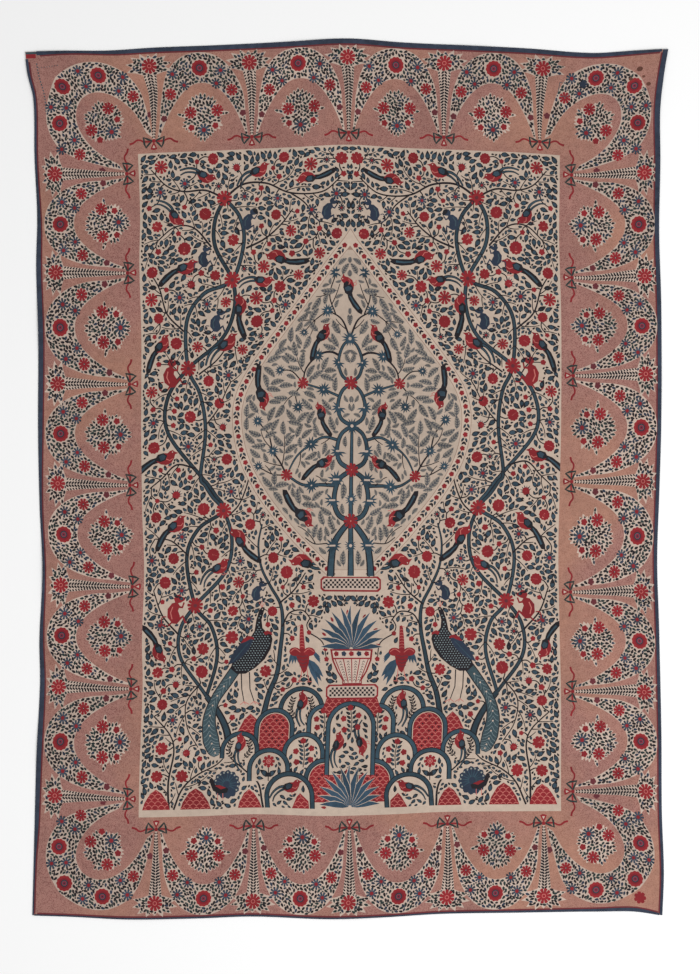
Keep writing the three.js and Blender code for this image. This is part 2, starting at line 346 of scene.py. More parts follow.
def stroke(place, dye, points, width, end_width=None, closed=False):
    """A brush line along points, as a closed outline."""
    points = np.asarray(points, float)
    end_width = width if end_width is None else end_width
    if closed:
        ahead, behind = np.roll(points, -1, 0), np.roll(points, 1, 0)
    else:
        ahead = np.vstack([points[1:], 2 * points[-1:] - points[-2:-1]])
        behind = np.vstack([2 * points[:1] - points[1:2], points[:-1]])
    way = ahead - behind
    way /= np.maximum(np.linalg.norm(way, axis=1, keepdims=True), 1e-9)
    side = np.column_stack([-way[:, 1], way[:, 0]]) * np.linspace(width, end_width, len(points))[:, None] / 2
    left, right = points + side, points - side
    if closed:
        left, right = np.vstack([left, left[:1]]), np.vstack([right, right[:1]])
    art.paint(dye, place(np.vstack([left, right[::-1]])))


def curve(points, steps=6):
    """A smooth line through a few points."""
    points = np.asarray(points, float)
    padded = np.vstack([2 * points[0] - points[1], points, 2 * points[-1] - points[-2]])
    t = np.linspace(0, 1, steps, endpoint=False)[:, None]
    out = []
    for a, b, c, d in zip(padded, padded[1:], padded[2:], padded[3:]):
        out.append(0.5 * (2 * b + (c - a) * t + (2 * a - 5 * b + 4 * c - d) * t**2
                          + (3 * b - a - 3 * c + d) * t**3))
    return np.vstack(out + [points[-1:]])


def along_line(line, spacing):
    """Evenly spaced points of a line, with the direction of the line at each."""
    steps = np.linalg.norm(np.diff(line, axis=0), axis=1)
    reach = np.concatenate([[0], np.cumsum(steps)])
    count = max(int(reach[-1] / spacing), 1)
    at = (np.arange(count) + 0.5) * reach[-1] / count

    def there(place):
        return np.column_stack([np.interp(place, reach, line[:, axis]) for axis in (0, 1)])

    way = there(at + 1) - there(at - 1)
    return there(at), np.arctan2(way[:, 1], way[:, 0])


class Room:
    """Which places are taken, on a fine raster, so that leaves keep clear of flowers and each other."""

    def __init__(self, low, high, cell=3.0):
        self.low, self.cell = np.array(low, float), cell
        self.taken = np.zeros(tuple(((np.array(high, float) - self.low) / cell).astype(int) + 2), bool)

    def cells(self, points):
        return ((points - self.low) / self.cell).astype(int)

    def take_inside(self, at, outline, hand=1):
        """Takes those cells whose middles an outline goes round, or with hand -1 those it leaves out."""
        rows = inside(outline, (at + 0.5) * self.cell + self.low)
        at = at[rows if hand > 0 else ~rows]
        self.taken[at[:, 0], at[:, 1]] = True

    def keep_to(self, outline):
        """Takes all that lies outside an outline."""
        self.take_inside(np.indices(self.taken.shape).reshape(2, -1).T, outline, -1)

    def free(self, points):
        at = self.cells(np.atleast_2d(points))
        if (at < 0).any() or (at >= self.taken.shape).any():
            return False
        return not self.taken[at[:, 0], at[:, 1]].any()

    def take(self, outline, grow=0.0):
        outline = np.asarray(outline, float)
        if grow:
            middle = outline.mean(0)
            reach = np.linalg.norm(outline - middle, axis=1, keepdims=True)
            outline = middle + (outline - middle) * (1 + grow / np.maximum(reach, 1e-6))
        low = np.clip(self.cells(outline.min(0)), 0, None)
        high = np.minimum(self.cells(outline.max(0)) + 2, self.taken.shape)
        if (high > low).all():
            self.take_inside(np.indices(high - low).reshape(2, -1).T + low, outline)

    def take_disc(self, x, y, radius):
        self.take(ring(x, y, np.linspace(0, 2 * math.pi, 17)[:-1], radius))

    def take_line(self, points, width):
        for point in along_line(np.asarray(points, float), 4.0)[0]:
            self.take_disc(*point, width / 2 + 1.5)

    def spots(self, step, stray):
        """Evenly strewn places all over, in random order."""
        wide, high = np.array(self.taken.shape) * self.cell
        grid = np.array([(x, y) for x in np.arange(4, wide - 4, step) for y in np.arange(4, high - 4, step)])
        grid += self.low + rng.uniform(-stray, stray, grid.shape)
        at = self.cells(grid).clip(0, np.array(self.taken.shape) - 1)
        grid = grid[~self.taken[at[:, 0], at[:, 1]]]
        return grid[rng.permutation(len(grid))]


LEAF_ROOM = 1.04
LEAF_SPINE = (0.22, 0.5, 0.8, 1.1)  # shares of a leaf's length that need room along its middle


def try_leaf(room, base, angle, sizes, paint, clear=1.12):
    """Paints the largest leaf that has room, if any has."""
    for length, width in sizes:
        along, across = LEAF_OUTLINE[:, 0] * length * LEAF_ROOM, LEAF_OUTLINE[:, 1] * width * clear
        outline = turned(base, angle, along, across)
        spine = base + np.outer(LEAF_SPINE, unit_vector(angle) * length)
        if room.free(np.vstack([outline[1:], spine])):
            size = rng.uniform(0.94, 1.06)
            paint(base, angle, length * size, width * size)
            room.take(outline)
            return True
    return False


def flow(x, y):
    """The way that loose leaves point: upwards, swaying from place to place."""
    return 1.6 + 1.1 * math.sin(x / 120 + 0.7) + 0.9 * math.cos(y / 95 + x / 210)


LEAF_TURNS = (0, 0.9, -0.9, 1.8)  # a loose leaf tries these, from the way of the flow


def fill_with_leaves(room, sizes, paint, step, clear=1.12):
    for size in sizes:
        for point in room.spots(step, step * 0.35):
            if not room.free(point):
                continue
            start = flow(*point) + rng.uniform(-0.5, 0.5)
            for turn in LEAF_TURNS:
                base = point - unit_vector(start + turn) * size[0] / 2
                if room.free(base) and try_leaf(room, base, start + turn, [size], paint, clear):
                    break


# The border: arched bands of leaves and flowers between bows, with a spray inside each

BORDER_REACH = 205.0  # half the usual distance between two bows
BOW_OUT = 50.0  # how far a bow's knot is from the field
SIDES = [
    {"origin": (0.0, FIELD_TOP), "along": (1, 0), "out": (0, 1), "bows": (-811, -400, 6, 405, 807)},
    {"origin": (0.0, FIELD_BOTTOM), "along": (1, 0), "out": (0, -1), "bows": (-804, -396, 4, 414, 816)},
    {"origin": (FIELD_LEFT, 0.0), "along": (0, 1), "out": (-1, 0),
     "bows": (-1288, -837, -418, -2, 412, 868, 1275)},
    {"origin": (FIELD_RIGHT, 0.0), "along": (0, 1), "out": (1, 0),
     "bows": (-1283, -868, -456, 2, 441, 848, 1274)},
]


def side_place(side, middle, stretch=1.0):
    """The place of a border unit: its own x runs along the side and its y outwards."""
    origin, along, out = (np.array(side[key], float) for key in ("origin", "along", "out"))

    def put(points):
        points = whole(points)
        return origin + (middle + points[:, 0:1] * stretch) * along + points[:, 1:2] * out

    return put


# The arched band: its outer line is a dome on two feet, and its inner line a lower arch
ARCH_FOOT = (188, 62)
DOME_HALF, DOME_FOOT, DOME_RISE = 178, 144, 260
HOLLOW_HALF, HOLLOW_FOOT, HOLLOW_RISE = 184, 49, 230


def arch_outline():
    turns = np.linspace(0, math.pi, 44)
    c, s = np.cos(turns), np.sin(turns)
    outer = np.column_stack([DOME_HALF * np.sign(c) * np.abs(c) ** 0.9, DOME_FOOT + DOME_RISE * s ** 0.94])
    x = HOLLOW_HALF * np.cos(np.linspace(math.pi, 0, 37))
    y = HOLLOW_FOOT + HOLLOW_RISE * (1 - (np.abs(x) / HOLLOW_HALF) ** 2.1) ** 0.92
    return np.vstack([ARCH_FOOT, outer, (-ARCH_FOOT[0], ARCH_FOOT[1]), np.column_stack([x, y])])


# Largest first: the length and width of the small dark leaves in the border's bands and sprays
BAND_LEAVES = [(20, 11.5), (16.5, 10.5), (13, 9.5), (10, 7.5)]
BAND_DYES = ["ink", "ink", "ink", "green", "green", "indigo"]


def leafy_patch(place, outline, flower_rows, tips=()):
    """Flowers, then leaves all over what they leave of a patch, and leaves that point out at its tips."""
    def paint(base, angle, length, width):
        leaf(place, base, angle, length, width, BAND_DYES[rng.integers(len(BAND_DYES))])

    outline = np.asarray(outline, float)
    room = Room(outline.min(0) - 6, outline.max(0) + 6, 2.0)
    room.keep_to(outline)
    for x, y, radius in flowers(place, flower_rows):
        room.take_disc(x, y, radius)
    for base, angle in tips:
        try_leaf(room, base, angle, BAND_LEAVES[:2], paint, 0.8)
    fill_with_leaves(room, BAND_LEAVES, paint, 7.0, 0.96)


# Rows of (kind, x, y, radius) in the unit's own millimetres
ARCH_FLOWERS = [
    ("ringed", 0, 338, 34), ("daisy", -111, 320, 22), ("daisy", -74, 271, 20), ("daisy", 90, 330, 22),
    ("daisy", 62, 275, 21), ("open", -131, 238, 23), ("open", 125, 247, 23), ("dark", -164, 137, 14),
    ("dark", 167, 150, 14),
]
SPRAY_FLOWERS = [
    ("open", -52, 158, 24), ("open", 59, 164, 24), ("small", -49, 98, 14), ("small", 53, 105, 14),
    ("daisy", 4, 88, 25),
]
# Rows of (turn in degrees from the unit's x, reach) from the spray's middle
SPRAY_MIDDLE = (0.0, 134.0)
SPRAY_REACH = [(0, 78), (8, 112), (22, 86), (50, 92), (90, 104), (130, 92), (158, 86), (172, 112),
               (180, 78), (206, 90), (232, 72), (270, 96), (308, 76), (332, 90)]


def flowers(place, rows):
    """Paints flowers, and returns where each is and how far it reaches."""
    reached = []
    for kind, x, y, radius in rows:
        x, y = x + rng.uniform(-3, 3), y + rng.uniform(-3, 3)
        flower(place, kind, x, y, radius)
        reached.append((x, y, radius + 1))
    return reached


def arch(place):
    band = arch_outline()
    art.paint("cream", place(band))
    leafy_patch(place, band, ARCH_FLOWERS)


SPRAY_POINTS = 34
# Rows for each point of a spray's edge: (how far round, in shares of half its width; how far in)
SPRAY_POINT = ((-0.45, 4), (0, 0), (0.45, 4), (1, 13))


def spray(place, middle, reach_rows, flower_rows):
    """A patch of leaves and flowers with a jagged edge, each point of it a leaf's tip."""
    middle = np.array(middle, float)
    turns, reaches = np.array(list(reach_rows) + [(360, reach_rows[0][1])], float).T
    half = math.pi / SPRAY_POINTS
    outline, tips = [], []
    for k in range(SPRAY_POINTS):
        turn = 360 * k / SPRAY_POINTS
        angle = math.radians(turn)
        tip = np.interp(turn, turns, reaches) * rng.uniform(0.96, 1.06)
        tips.append((middle + unit_vector(angle) * (tip - 20), angle))
        outline += [middle + unit_vector(angle + half * share) * (tip - less) for share, less in SPRAY_POINT]
    outline = np.array(outline)
    art.paint("cream", place(outline))
    leafy_patch(place, outline, flower_rows, tips)


# Rows of (how far out, half width) of a fan's stem
FAN_STEM = [(58, 4), (150, 12), (245, 19), (318, 27)]
FAN_HEAD = 353.0


def fan(place):
    """The tapering stem of leaves that rises from a bow, with a red flower at its head."""
    up, half = np.array(FAN_STEM, float).T
    art.paint("cream", place(mirrored(np.column_stack([half, up]))))
    turns = np.radians(np.linspace(-28, 208, 19))
    patch = []
    for k, turn in enumerate(turns):
        reach = (58 if k % 2 else 40) * (1 + 0.5 * abs(math.cos(turn)))
        patch.append((reach * 1.12 * math.cos(turn), FAN_HEAD + reach * 0.86 * math.sin(turn)))
    patch += [(-24, 318), (24, 318)]
    art.paint("cream", place(patch))
    for y in np.arange(62, 316, 12.0):
        reach = np.interp(y, up, half)
        length, width = min(17.0, 7 + reach * 0.75), min(9.4, 5.2 + reach * 0.33)
        for hand in (-1, 1):
            angle = -math.pi / 2 + hand * 0.78
            leaf(place, (hand * 0.6, y + 7), angle, length, width, "ink")
            if reach > 15:
                leaf(place, (hand * (reach - 9), y + 3), angle, 13, 7.4, "ink")
    leafy_patch(place, patch, [("fan", 0, FAN_HEAD, 30)],
                [((40 * math.cos(turn), FAN_HEAD + 37 * math.sin(turn)), turn) for turn in turns[1::2]])


BOW_BAND = [(0, 0), (24, -2), (47, -1)]
BOW_LOOP = [(7, 0), (26, 8), (43, 16), (40, -10), (33, -26), (18, -10)]
BOW_TAIL = [(45, 0), (58, 6), (72, 6), (86, -4), (102, -8)]
BOW_DROP = [(0, -4), (-9, -20), (-14, -34), (0, -38), (14, -34), (9, -20)]
BOW_HOLE = [(0, -16), (-6, -29), (6, -29)]


def bow(place):
    """A tied ribbon: two dark loops, a red band through them, wavy red ends and a red drop."""
    def tied(points, hand=1):
        return np.array(points, float) * (hand, 1) + (0, BOW_OUT)

    for hand in (-1, 1):
        stroke(place, "red", tied(BOW_BAND, hand), 7.5)
        stroke(place, "green", tied(BOW_LOOP, hand), 8.5, closed=True)
        stroke(place, "red", curve(tied(BOW_TAIL, hand), 3), 6.5, 8.5)
    art.paint("red", place(tied(BOW_DROP)))
    art.paint("cream", place(tied(BOW_HOLE)))
    disc(place, 0, BOW_OUT, 8, "red", 8)


CORNER_FLOWERS = [
    ("ringed", 303, 283, 34), ("ringed", 144, 328, 34), ("ringed", 328, 131, 34),
    ("daisy", 228, 344, 22), ("daisy", 205, 283, 21), ("daisy", 43, 320, 22), ("daisy", 74, 260, 21),
    ("daisy", 362, 200, 22), ("daisy", 299, 197, 21), ("daisy", 267, 60, 22), ("daisy", 322, 25, 22),
    ("open", 16, 238, 23), ("open", 242, 2, 23), ("dark", -52, 160, 14), ("dark", 152, -62, 14),
]
CORNER_SPRAY = [
    ("open", 126, 193, 24), ("open", 196, 105, 24), ("small", 86, 148, 14), ("small", 155, 64, 14),
    ("daisy", 111, 96, 25),
]
CORNER_SPRAY_REACH = [(0, 84), (20, 96), (45, 78), (70, 96), (95, 84), (140, 88), (170, 80), (200, 76),
                      (225, 94), (250, 74), (290, 84), (330, 86)]


def corner_place(corner, hand_x, hand_y):
    """The place of a corner unit: its x and y run outwards from the field's corner."""
    def put(points):
        return np.array(corner, float) + whole(points) * (hand_x, hand_y)

    return put


# Half of the corner band's two edges, from a bow to the middle: the other half mirrors it
CORNER_OUTER = [(-62, 64), (-48, 132), (-26, 218), (-6, 276), (26, 326), (68, 358), (122, 380), (180, 384),
                (236, 372), (288, 346), (322, 322)]
CORNER_INNER = [(-36, 84), (-6, 140), (28, 186), (70, 224), (114, 249), (158, 259), (200, 252), (232, 232)]


def corner_edge(half):
    return curve(half + [(y, x) for x, y in half[::-1]], 3)


def corner(place):
    """The band goes three quarters round a spray, from one bow to the other."""
    band = np.vstack([corner_edge(CORNER_OUTER), corner_edge(CORNER_INNER)[::-1]])
    art.paint("cream", place(band))
    leafy_patch(place, band, CORNER_FLOWERS)
    spray(place, (140, 135), CORNER_SPRAY_REACH, CORNER_SPRAY)


# Rows of (left, right, bottom, top) in millimetres from the top left corner, and the dye
CORNER_PATCHES = [((0, 58, -9, 0), "slate"), ((0, 40, -26, -9), "red")]
GUARD_EDGES = (-2.5, 6.5)  # the guard line's outer and inner edge, inwards from the strip's edge
GUARD_SAMPLES = 60


def guard_line():
    """The thin dark red line just inside the blue strips, and the bare corner at the top left."""
    for name, hand in (("top", 1), ("bottom", -1), ("right", 1), ("left", -1)):
        row, level = BINDINGS[name], name in ("top", "bottom")
        span, half = (DESIGN_WIDE, HALF_LONG) if level else (DESIGN_LONG, HALF_WIDE)
        t = np.linspace((row["from"] + 12) / span, 1 - (row["to"] + 6) / span, GUARD_SAMPLES)
        face = smooth_table(row["face"], t)
        along = (t - 0.5 if level else 0.5 - t) * span
        outer, inner = (np.column_stack([along, hand * (half - face - more)]) for more in GUARD_EDGES)
        line = np.vstack([outer, inner[::-1]])
        art.paint("rust", line if level else line[:, ::-1])
    x, y = 1.0 - HALF_WIDE, HALF_LONG - 1.0
    for (left, right, bottom, top), dye in CORNER_PATCHES:
        art.paint(dye, box(x + left, x + right, y + bottom, y + top))


def mends():
    """What age has left: a dashed line of stitches, brown stains, a red patch and a grey mend."""
    for start, end, step in (((-1268, 1732), (-1262, 1530), 0.06), ((-1262, 1712), (-1184, 1722), 0.14)):
        start, end = np.array(start, float), np.array(end, float)
        for share in np.arange(0, 1, step):
            dash = [start + (end - start) * at for at in (share, share + 0.035)]
            stroke(whole, "slate", dash, 4.6)
    for x, y, radius in ((1208, 1704, 13), (1176, 1664, 9), (1252, 1640, 10), (1228, 1672, 7)):
        disc(whole, x, y, radius, "stain", 11, 0.8)
    petals(whole, 1216, -1722, 26, 7, "red", notch=0.7)
    stroke(whole, "slate", [(878, 1606), (884, 1654), (928, 1648), (924, 1600), (890, 1596)], 3.2)
    petals(whole, 982, 1652, 18, 7, "indigo", notch=0.5)


def border():
    guard_line()
    for side in SIDES:
        bows = side["bows"]
        for start, end in zip(bows, bows[1:]):
            place = side_place(side, (start + end) / 2, (end - start) / 2 / BORDER_REACH)
            arch(place)
            spray(place, SPRAY_MIDDLE, SPRAY_REACH, SPRAY_FLOWERS)
    for corner_x, hand_x in ((FIELD_LEFT, -1), (FIELD_RIGHT, 1)):
        for corner_y, hand_y in ((FIELD_TOP, 1), (FIELD_BOTTOM, -1)):
            corner(corner_place((corner_x, corner_y), hand_x, hand_y))
    for side in SIDES:
        for middle in side["bows"]:
            fan(side_place(side, middle))
            bow(side_place(side, middle))
    mends()


border()


# The field: twining trees of flowers and birds round a drop-shaped panel, over a scene of hillocks

def field_mode(mirrored):
    """Later shapes are painted in the field, once or on both sides of its middle line."""
    art.zone, art.hands = "field", (1, -1) if mirrored else (1,)


# Rows of (height, half width) of the drop's outer line, from the tip down
DROP = [(1010, 0), (965, 30), (898, 84), (815, 148), (734, 214), (652, 282), (570, 348), (488, 408),
        (406, 460), (335, 489), (262, 500), (170, 492), (78, 467), (-4, 428), (-86, 377), (-168, 312),
        (-250, 240), (-318, 172), (-381, 111), (-400, 92)]
DROP_STRIP = 37.0
FLORET_STEP = 56.0


def drop_line(inset):
    """The right half of the drop, moved inwards."""
    line = curve([(wide, up) for up, wide in DROP], 4)
    way = np.gradient(line, axis=0)
    way /= np.linalg.norm(way, axis=1, keepdims=True)
    moved = line + np.column_stack([way[:, 1], -way[:, 0]]) * inset
    return moved[moved[:, 0] >= 0]


def drop_outline(inset):
    return mirrored(drop_line(inset))


# The twining trunks: crossings from the top down, and how far the two strands part below each
TWINE = [(-532, 1160, 58, 62), (-497, 826, 92, 72), (-684, 466, 118, 42), (-640, 30, 7, 7),
         (-540, -118, 92, 78), (-660, -500, 88, 66), (-614, -873, 0, 0)]
TWINE_FLOWERS = TWINE[:3] + TWINE[4:6]
FOOT_LINE = -1336.0

# Other trunks and main boughs, as a few points from the root up, with widths at root and tip
BOUGHS = [
    ([(-614, -873), (-562, -936), (-522, -1010), (-505, -1090)], 24, 36),
    ([(-372, -960), (-352, -866), (-322, -790), (-306, -700), (-292, -600), (-300, -510), (-344, -430),
      (-382, -350), (-392, -260), (-374, -178)], 25, 7),
    ([(-294, -600), (-262, -545), (-205, -535), (-168, -572)], 7, 5),
    ([(-306, -505), (-240, -450), (-190, -380)], 8, 5),
    ([(-532, 1160), (-610, 1196), (-700, 1192), (-770, 1215), (-830, 1280)], 9, 5),
    ([(-532, 1160), (-450, 1214), (-350, 1212), (-250, 1165), (-120, 1160), (-40, 1215)], 10, 5),
    ([(-250, 1165), (-190, 1120), (-150, 1060)], 7, 5),
    ([(-440, 950), (-360, 985), (-290, 1040), (-240, 1100)], 9, 5),
    ([(-585, 960), (-660, 1040), (-740, 1045), (-820, 980)], 8, 5),
    ([(-700, 620), (-770, 690), (-800, 790), (-840, 860)], 8, 5),
    ([(-640, 440), (-560, 500), (-500, 580)], 7, 5),
    ([(-660, 60), (-740, 75), (-800, 20), (-850, -20)], 8, 5),
    ([(-610, 240), (-560, 300), (-520, 380)], 6, 5),
    ([(-530, -150), (-470, -90), (-430, 20), (-438, 90)], 7, 5),
    ([(-690, -300), (-760, -240), (-830, -230)], 7, 5),
    ([(-730, -620), (-800, -540), (-840, -440)], 8, 5),
    ([(-758, FOOT_LINE), (-760, -1220), (-742, -1100), (-762, -1030), (-834, -955)], 9, 5),
    ([(-738, FOOT_LINE), (-700, -1250), (-640, -1195), (-560, -1155), (-520, -1118)], 8, 5),
    ([(-362, FOOT_LINE), (-378, -1240), (-440, -1180), (-498, -1130)], 9, 5),
    ([(-640, -820), (-700, -900), (-690, -1000), (-640, -1080)], 6, 4),
]
THICK_FROM = 11  # boughs wider than this at one end have a lighter core


def twine_strands():
    """The two strands of the twining trunk, each bowing out between one crossing and the next."""
    strands = []
    for hand in (-1, 1):
        points, swap = [], 1
        for (x0, y0, left, right), (x1, y1, _, _) in zip(TWINE, TWINE[1:]):
            start, end = np.array([x0, y0], float), np.array([x1, y1], float)
            way = (end - start) / np.linalg.norm(end - start)
            part = left if hand * swap < 0 else right
            side = np.array([-way[1], way[0]]) * hand * swap * part
            points += [start, start + (end - start) * 0.25 + side * 0.86, start + (end - start) * 0.58 + side]
            swap = -swap
        points.append(np.array(TWINE[-1][:2], float))
        strands.append(curve(points, 7))
    return strands


# Rows of (x, y, turn in degrees, size) of the small birds; the first way a bird faces is right
BIRDS = [
    (-612, 1250, -30, 0.9), (-742, 1085, -60, 0.9), (-380, 1262, 14, 0.95), (-175, 1225, 172, 0.9),
    (-690, 872, 12, 1.0), (-300, 912, 150, 1.0), (-372, 812, -14, 0.9), (-462, 715, 78, 1.0),
    (-795, 560, 40, 0.95), (-520, 560, 28, 1.05), (-790, 98, 8, 1.0), (-740, -180, 30, 1.0),
    (-470, -232, 112, 1.0), (-196, -330, 158, 1.1), (-822, -690, -80, 0.95), (-560, -350, 24, 0.9),
    (-448, 262, 100, 0.9),
]
# Rows of (x, y, turn in degrees, size, dye)
MONKEYS = [(-432, 1045, 0, 1.15, "indigo"), (-94, 1070, 0, 1.15, "indigo"), (-560, 640, 10, 1.2, "indigo"),
           (-752, 418, 24, 1.5, "red"), (-400, -470, 0, 1.1, "indigo"), (-742, -545, 14, 1.5, "red"),
           (-610, 900, 20, 1.1, "indigo")]

BIRD_BODY = [(-34, -6), (-26, 15), (-4, 25), (15, 22), (26, 30), (38, 32), (45, 25), (60, 17), (46, 14),
             (40, 0), (26, -18), (4, -24), (-18, -19)]
BIRD_WING = [(-42, 2), (-26, 22), (-2, 25), (12, 13), (2, -5), (-20, -9)]
BIRD_TAILS = [([(-26, 10), (-52, 12), (-84, -2), (-112, -30)], 15, 8),
              ([(-26, 0), (-54, -6), (-84, -24), (-100, -48)], 12, 6)]
PADDLE_TAIL = [(-26, 12), (-58, 8), (-94, -8), (-120, -28), (-130, -44), (-114, -51), (-84, -34),
               (-50, -14), (-22, -10)]
LONG_WING = [(-46, -2), (-30, 20), (-4, 26), (16, 21), (24, 6), (10, -8), (-8, -19), (-26, -15)]
BIRD_SPACE = [(-124, -34), (-108, -54), (-52, -20), (-16, -19), (26, -18), (46, 4), (62, 15),
              (44, 32), (24, 30), (-20, 25), (-52, 20), (-86, 8)]


def bird(place, paddle=False, dark=False):
    """A red bird with a tail of two plumes or of one broad one, and a short or a long dark wing."""
    for x in (-2, 10):
        stroke(place, "rose", [(x, -18), (x + 3, -32), (x + 13, -36)], 3)
    if paddle:
        art.paint("ink", place(PADDLE_TAIL))
        stroke(place, "teal", [(-40, 2), (-76, -14), (-106, -34)], 5, 9)
    else:
        for points, start, end in BIRD_TAILS:
            stroke(place, "ink", curve(points, 3), start, end)
            stroke(place, "teal", curve(points, 3), start * 0.5, end * 0.4)
    art.paint("red", place(BIRD_BODY))
    wing, heart = (LONG_WING, (-14, 6)) if dark else (BIRD_WING, (-10, 9))
    art.paint("leaf", place(wing), place(heart)[0])
    disc(place, 36, 24, 3, "cream", 5)
    stroke(place, "rose", [(6, 0), (20, -8), (33, -2)], 3)


MONKEY_BODY = [(-14, -16), (-24, 4), (-18, 26), (-2, 38), (14, 38), (18, 26), (10, 14), (12, 0), (8, -14),
               (-2, -20)]
MONKEY_HEAD = [(8, 34), (6, 48), (14, 57), (25, 56), (30, 48), (38, 44), (36, 38), (24, 34)]
MONKEY_TAIL = [(-14, -12), (-32, -20), (-44, -8), (-38, 8), (-26, 6)]


def monkey(place, dye):
    stroke(place, dye, curve(MONKEY_TAIL, 3), 4.6, 3)
    stroke(place, dye, [(10, 26), (24, 20), (32, 32)], 7, 4.5)
    stroke(place, dye, [(2, -12), (20, -4), (22, -22), (32, -25)], 9, 4.5)
    art.paint(dye, place(MONKEY_BODY))
    art.paint(dye, place(MONKEY_HEAD))
    disc(place, 25, 48, 2.6, "cream", 5)
    stroke(place, "rose" if dye == "red" else "slate", [(-12, -4), (-12, 14), (-2, 28)], 3)


FEATHER_BODY = both_sides([(0, 0), (0.1, 0.3), (0.3, 0.47), (0.55, 0.46), (0.8, 0.3), (1, 0)])
FEATHER_TEETH = 5


def feather(base, angle, length, width):
    """A grey leaf that is hatched like a feather: slanting teeth along both sides of a curved midrib."""
    teeth = []
    for k in range(FEATHER_TEETH):
        at = (k + 0.3) / (FEATHER_TEETH + 0.5)
        half = width / 2 * math.sin(math.pi * min(0.2 + at * 0.9, 1.0)) ** 0.6
        teeth += [(at, 0.06 * width), (at + 0.17, half), (at + 0.095, 0.06 * width)]
    veins = np.array([(-0.14, 0)] + teeth + [(1.05, 0)] + [(x, -y) for x, y in teeth[::-1]])
    for dye, shape in (("feather", FEATHER_BODY * (1, width)), ("vein", veins)):
        across = shape[:, 1] + 0.16 * width * np.sin(math.pi * np.clip(shape[:, 0], 0, 1))
        art.paint(dye, turned(base, angle, shape[:, 0] * length, across))


def spiky(place, x, y, radius, count=12, start=0.0, sweep=360.0, dye="tuft"):
    """A star of narrow leaves, whole or as a fan."""
    points = []
    for k in range(count):
        turn = math.radians(start + sweep * (k + 0.5) / count)
        half = math.radians(sweep) / count / 2
        tip = radius * rng.uniform(0.85, 1.08)
        for angle, reach in ((turn - half, radius * 0.46), (turn - half * 0.5, tip * 0.68), (turn, tip),
                             (turn + half * 0.5, tip * 0.68)):
            points.append((x + reach * math.cos(angle), y + reach * math.sin(angle)))
    if sweep < 360:
        points.append((x, y))
    art.paint(dye, place(points))


PLAIN_UP_TO = 15.5  # leaves no longer than this have one dye


def field_leaf(base, angle, length, width):
    dye = "leaf" if length > PLAIN_UP_TO else "ink"
    leaf(whole, base, angle, length, width, dye, rng.uniform(-0.25, 0.25))


LEAF_SIZES = [(42, 23.5), (35, 20.5), (28, 17), (21, 13)]
FILL_SIZES = [(38, 22), (31, 19), (25, 15.5), (19, 12), (14, 9)]
FEATHER_SIZES = [(62, 27), (52, 24), (43, 21), (34, 17), (26, 14)]


SPRIG_STEP = 9.0


def sprig(room, start, angle, reach, bend, sizes, paint):
    """A twig with leaves on both sides and one at its tip, as far as it has room."""
    points, way = [np.asarray(start, float)], angle
    for k in range(int(reach / SPRIG_STEP)):
        way += bend
        ahead = points[-1] + unit_vector(way) * SPRIG_STEP
        side = unit_vector(way + math.pi / 2) * 8
        feelers = np.array([ahead, ahead + unit_vector(way) * 10, ahead + side, ahead - side])
        if k > 1 and not room.free(feelers):
            break
        points.append(ahead)
    if len(points) < 6:
        return None
    path = np.array(points)
    stroke(whole, "ink", path, 4.6, 3.0)
    room.take_line(path[2:], 3.0)
    leaves_along(room, path[1:], sizes[0][1] * 1.05, sizes, paint, 4.5)
    try_leaf(room, path[-1] + unit_vector(way) * 3, way, sizes, paint)
    return path


def leaves_along(room, path, spacing, sizes, paint, gap):
    for point, way in zip(*along_line(path, spacing)):
        for side in (1, -1):
            base = point + unit_vector(way + side * math.pi / 2) * gap
            try_leaf(room, base, way + side * rng.uniform(0.65, 1.05), sizes, paint)


def grow_sprigs(room, lines, spacing, reach, sizes, paint):
    """Twigs from both sides of lines, wherever they have room."""
    shoots = [(point, way + side * rng.uniform(0.7, 1.1), -side) for line in lines
              for point, way in zip(*along_line(line, spacing)) for side in (1, -1)]
    grown = []
    for k in rng.permutation(len(shoots)):
        point, angle, bend = shoots[k]
        path = sprig(room, point, angle, rng.uniform(*reach), bend * rng.uniform(0.02, 0.1), sizes, paint)
        if path is not None:
            grown.append(path)
    return grown


def grow_stems(tree, targets):
    """Thin curved stems that join each target to the nearest part of the tree."""
    tree, left, stems, bulge = [tuple(p) for p in tree], [tuple(t) for t in targets], [], 1
    while left:
        near, far = np.array(tree), np.array(left)
        distance = ((far[:, None] - near[None]) ** 2).sum(-1)
        i, j = np.unravel_index(distance.argmin(), distance.shape)
        start, end = near[j], far[i]
        side = np.array([start[1] - end[1], end[0] - start[0]]) * 0.2 * bulge
        path = curve([start, (start + end) / 2 + side, end], 5)
        stems.append(path)
        tree += [tuple(p) for p in path[1:]]
        left.pop(i)
        bulge = -bulge
    return stems


# Rows of (how many, kind, least and most radius, clear space round it)
SCATTER = [(66, "open", 22, 29, 30), (26, "daisy", 18, 23, 22), (60, "small", 10, 14, 18),
           (12, "daisy", 12, 15, 16)]
SCATTER_X, SCATTER_Y = (FIELD_LEFT - FIELD_MIDDLE + 34, -26), (-1230, 1322)
SCATTER_TRIES = 40
FAR_OFF = 400


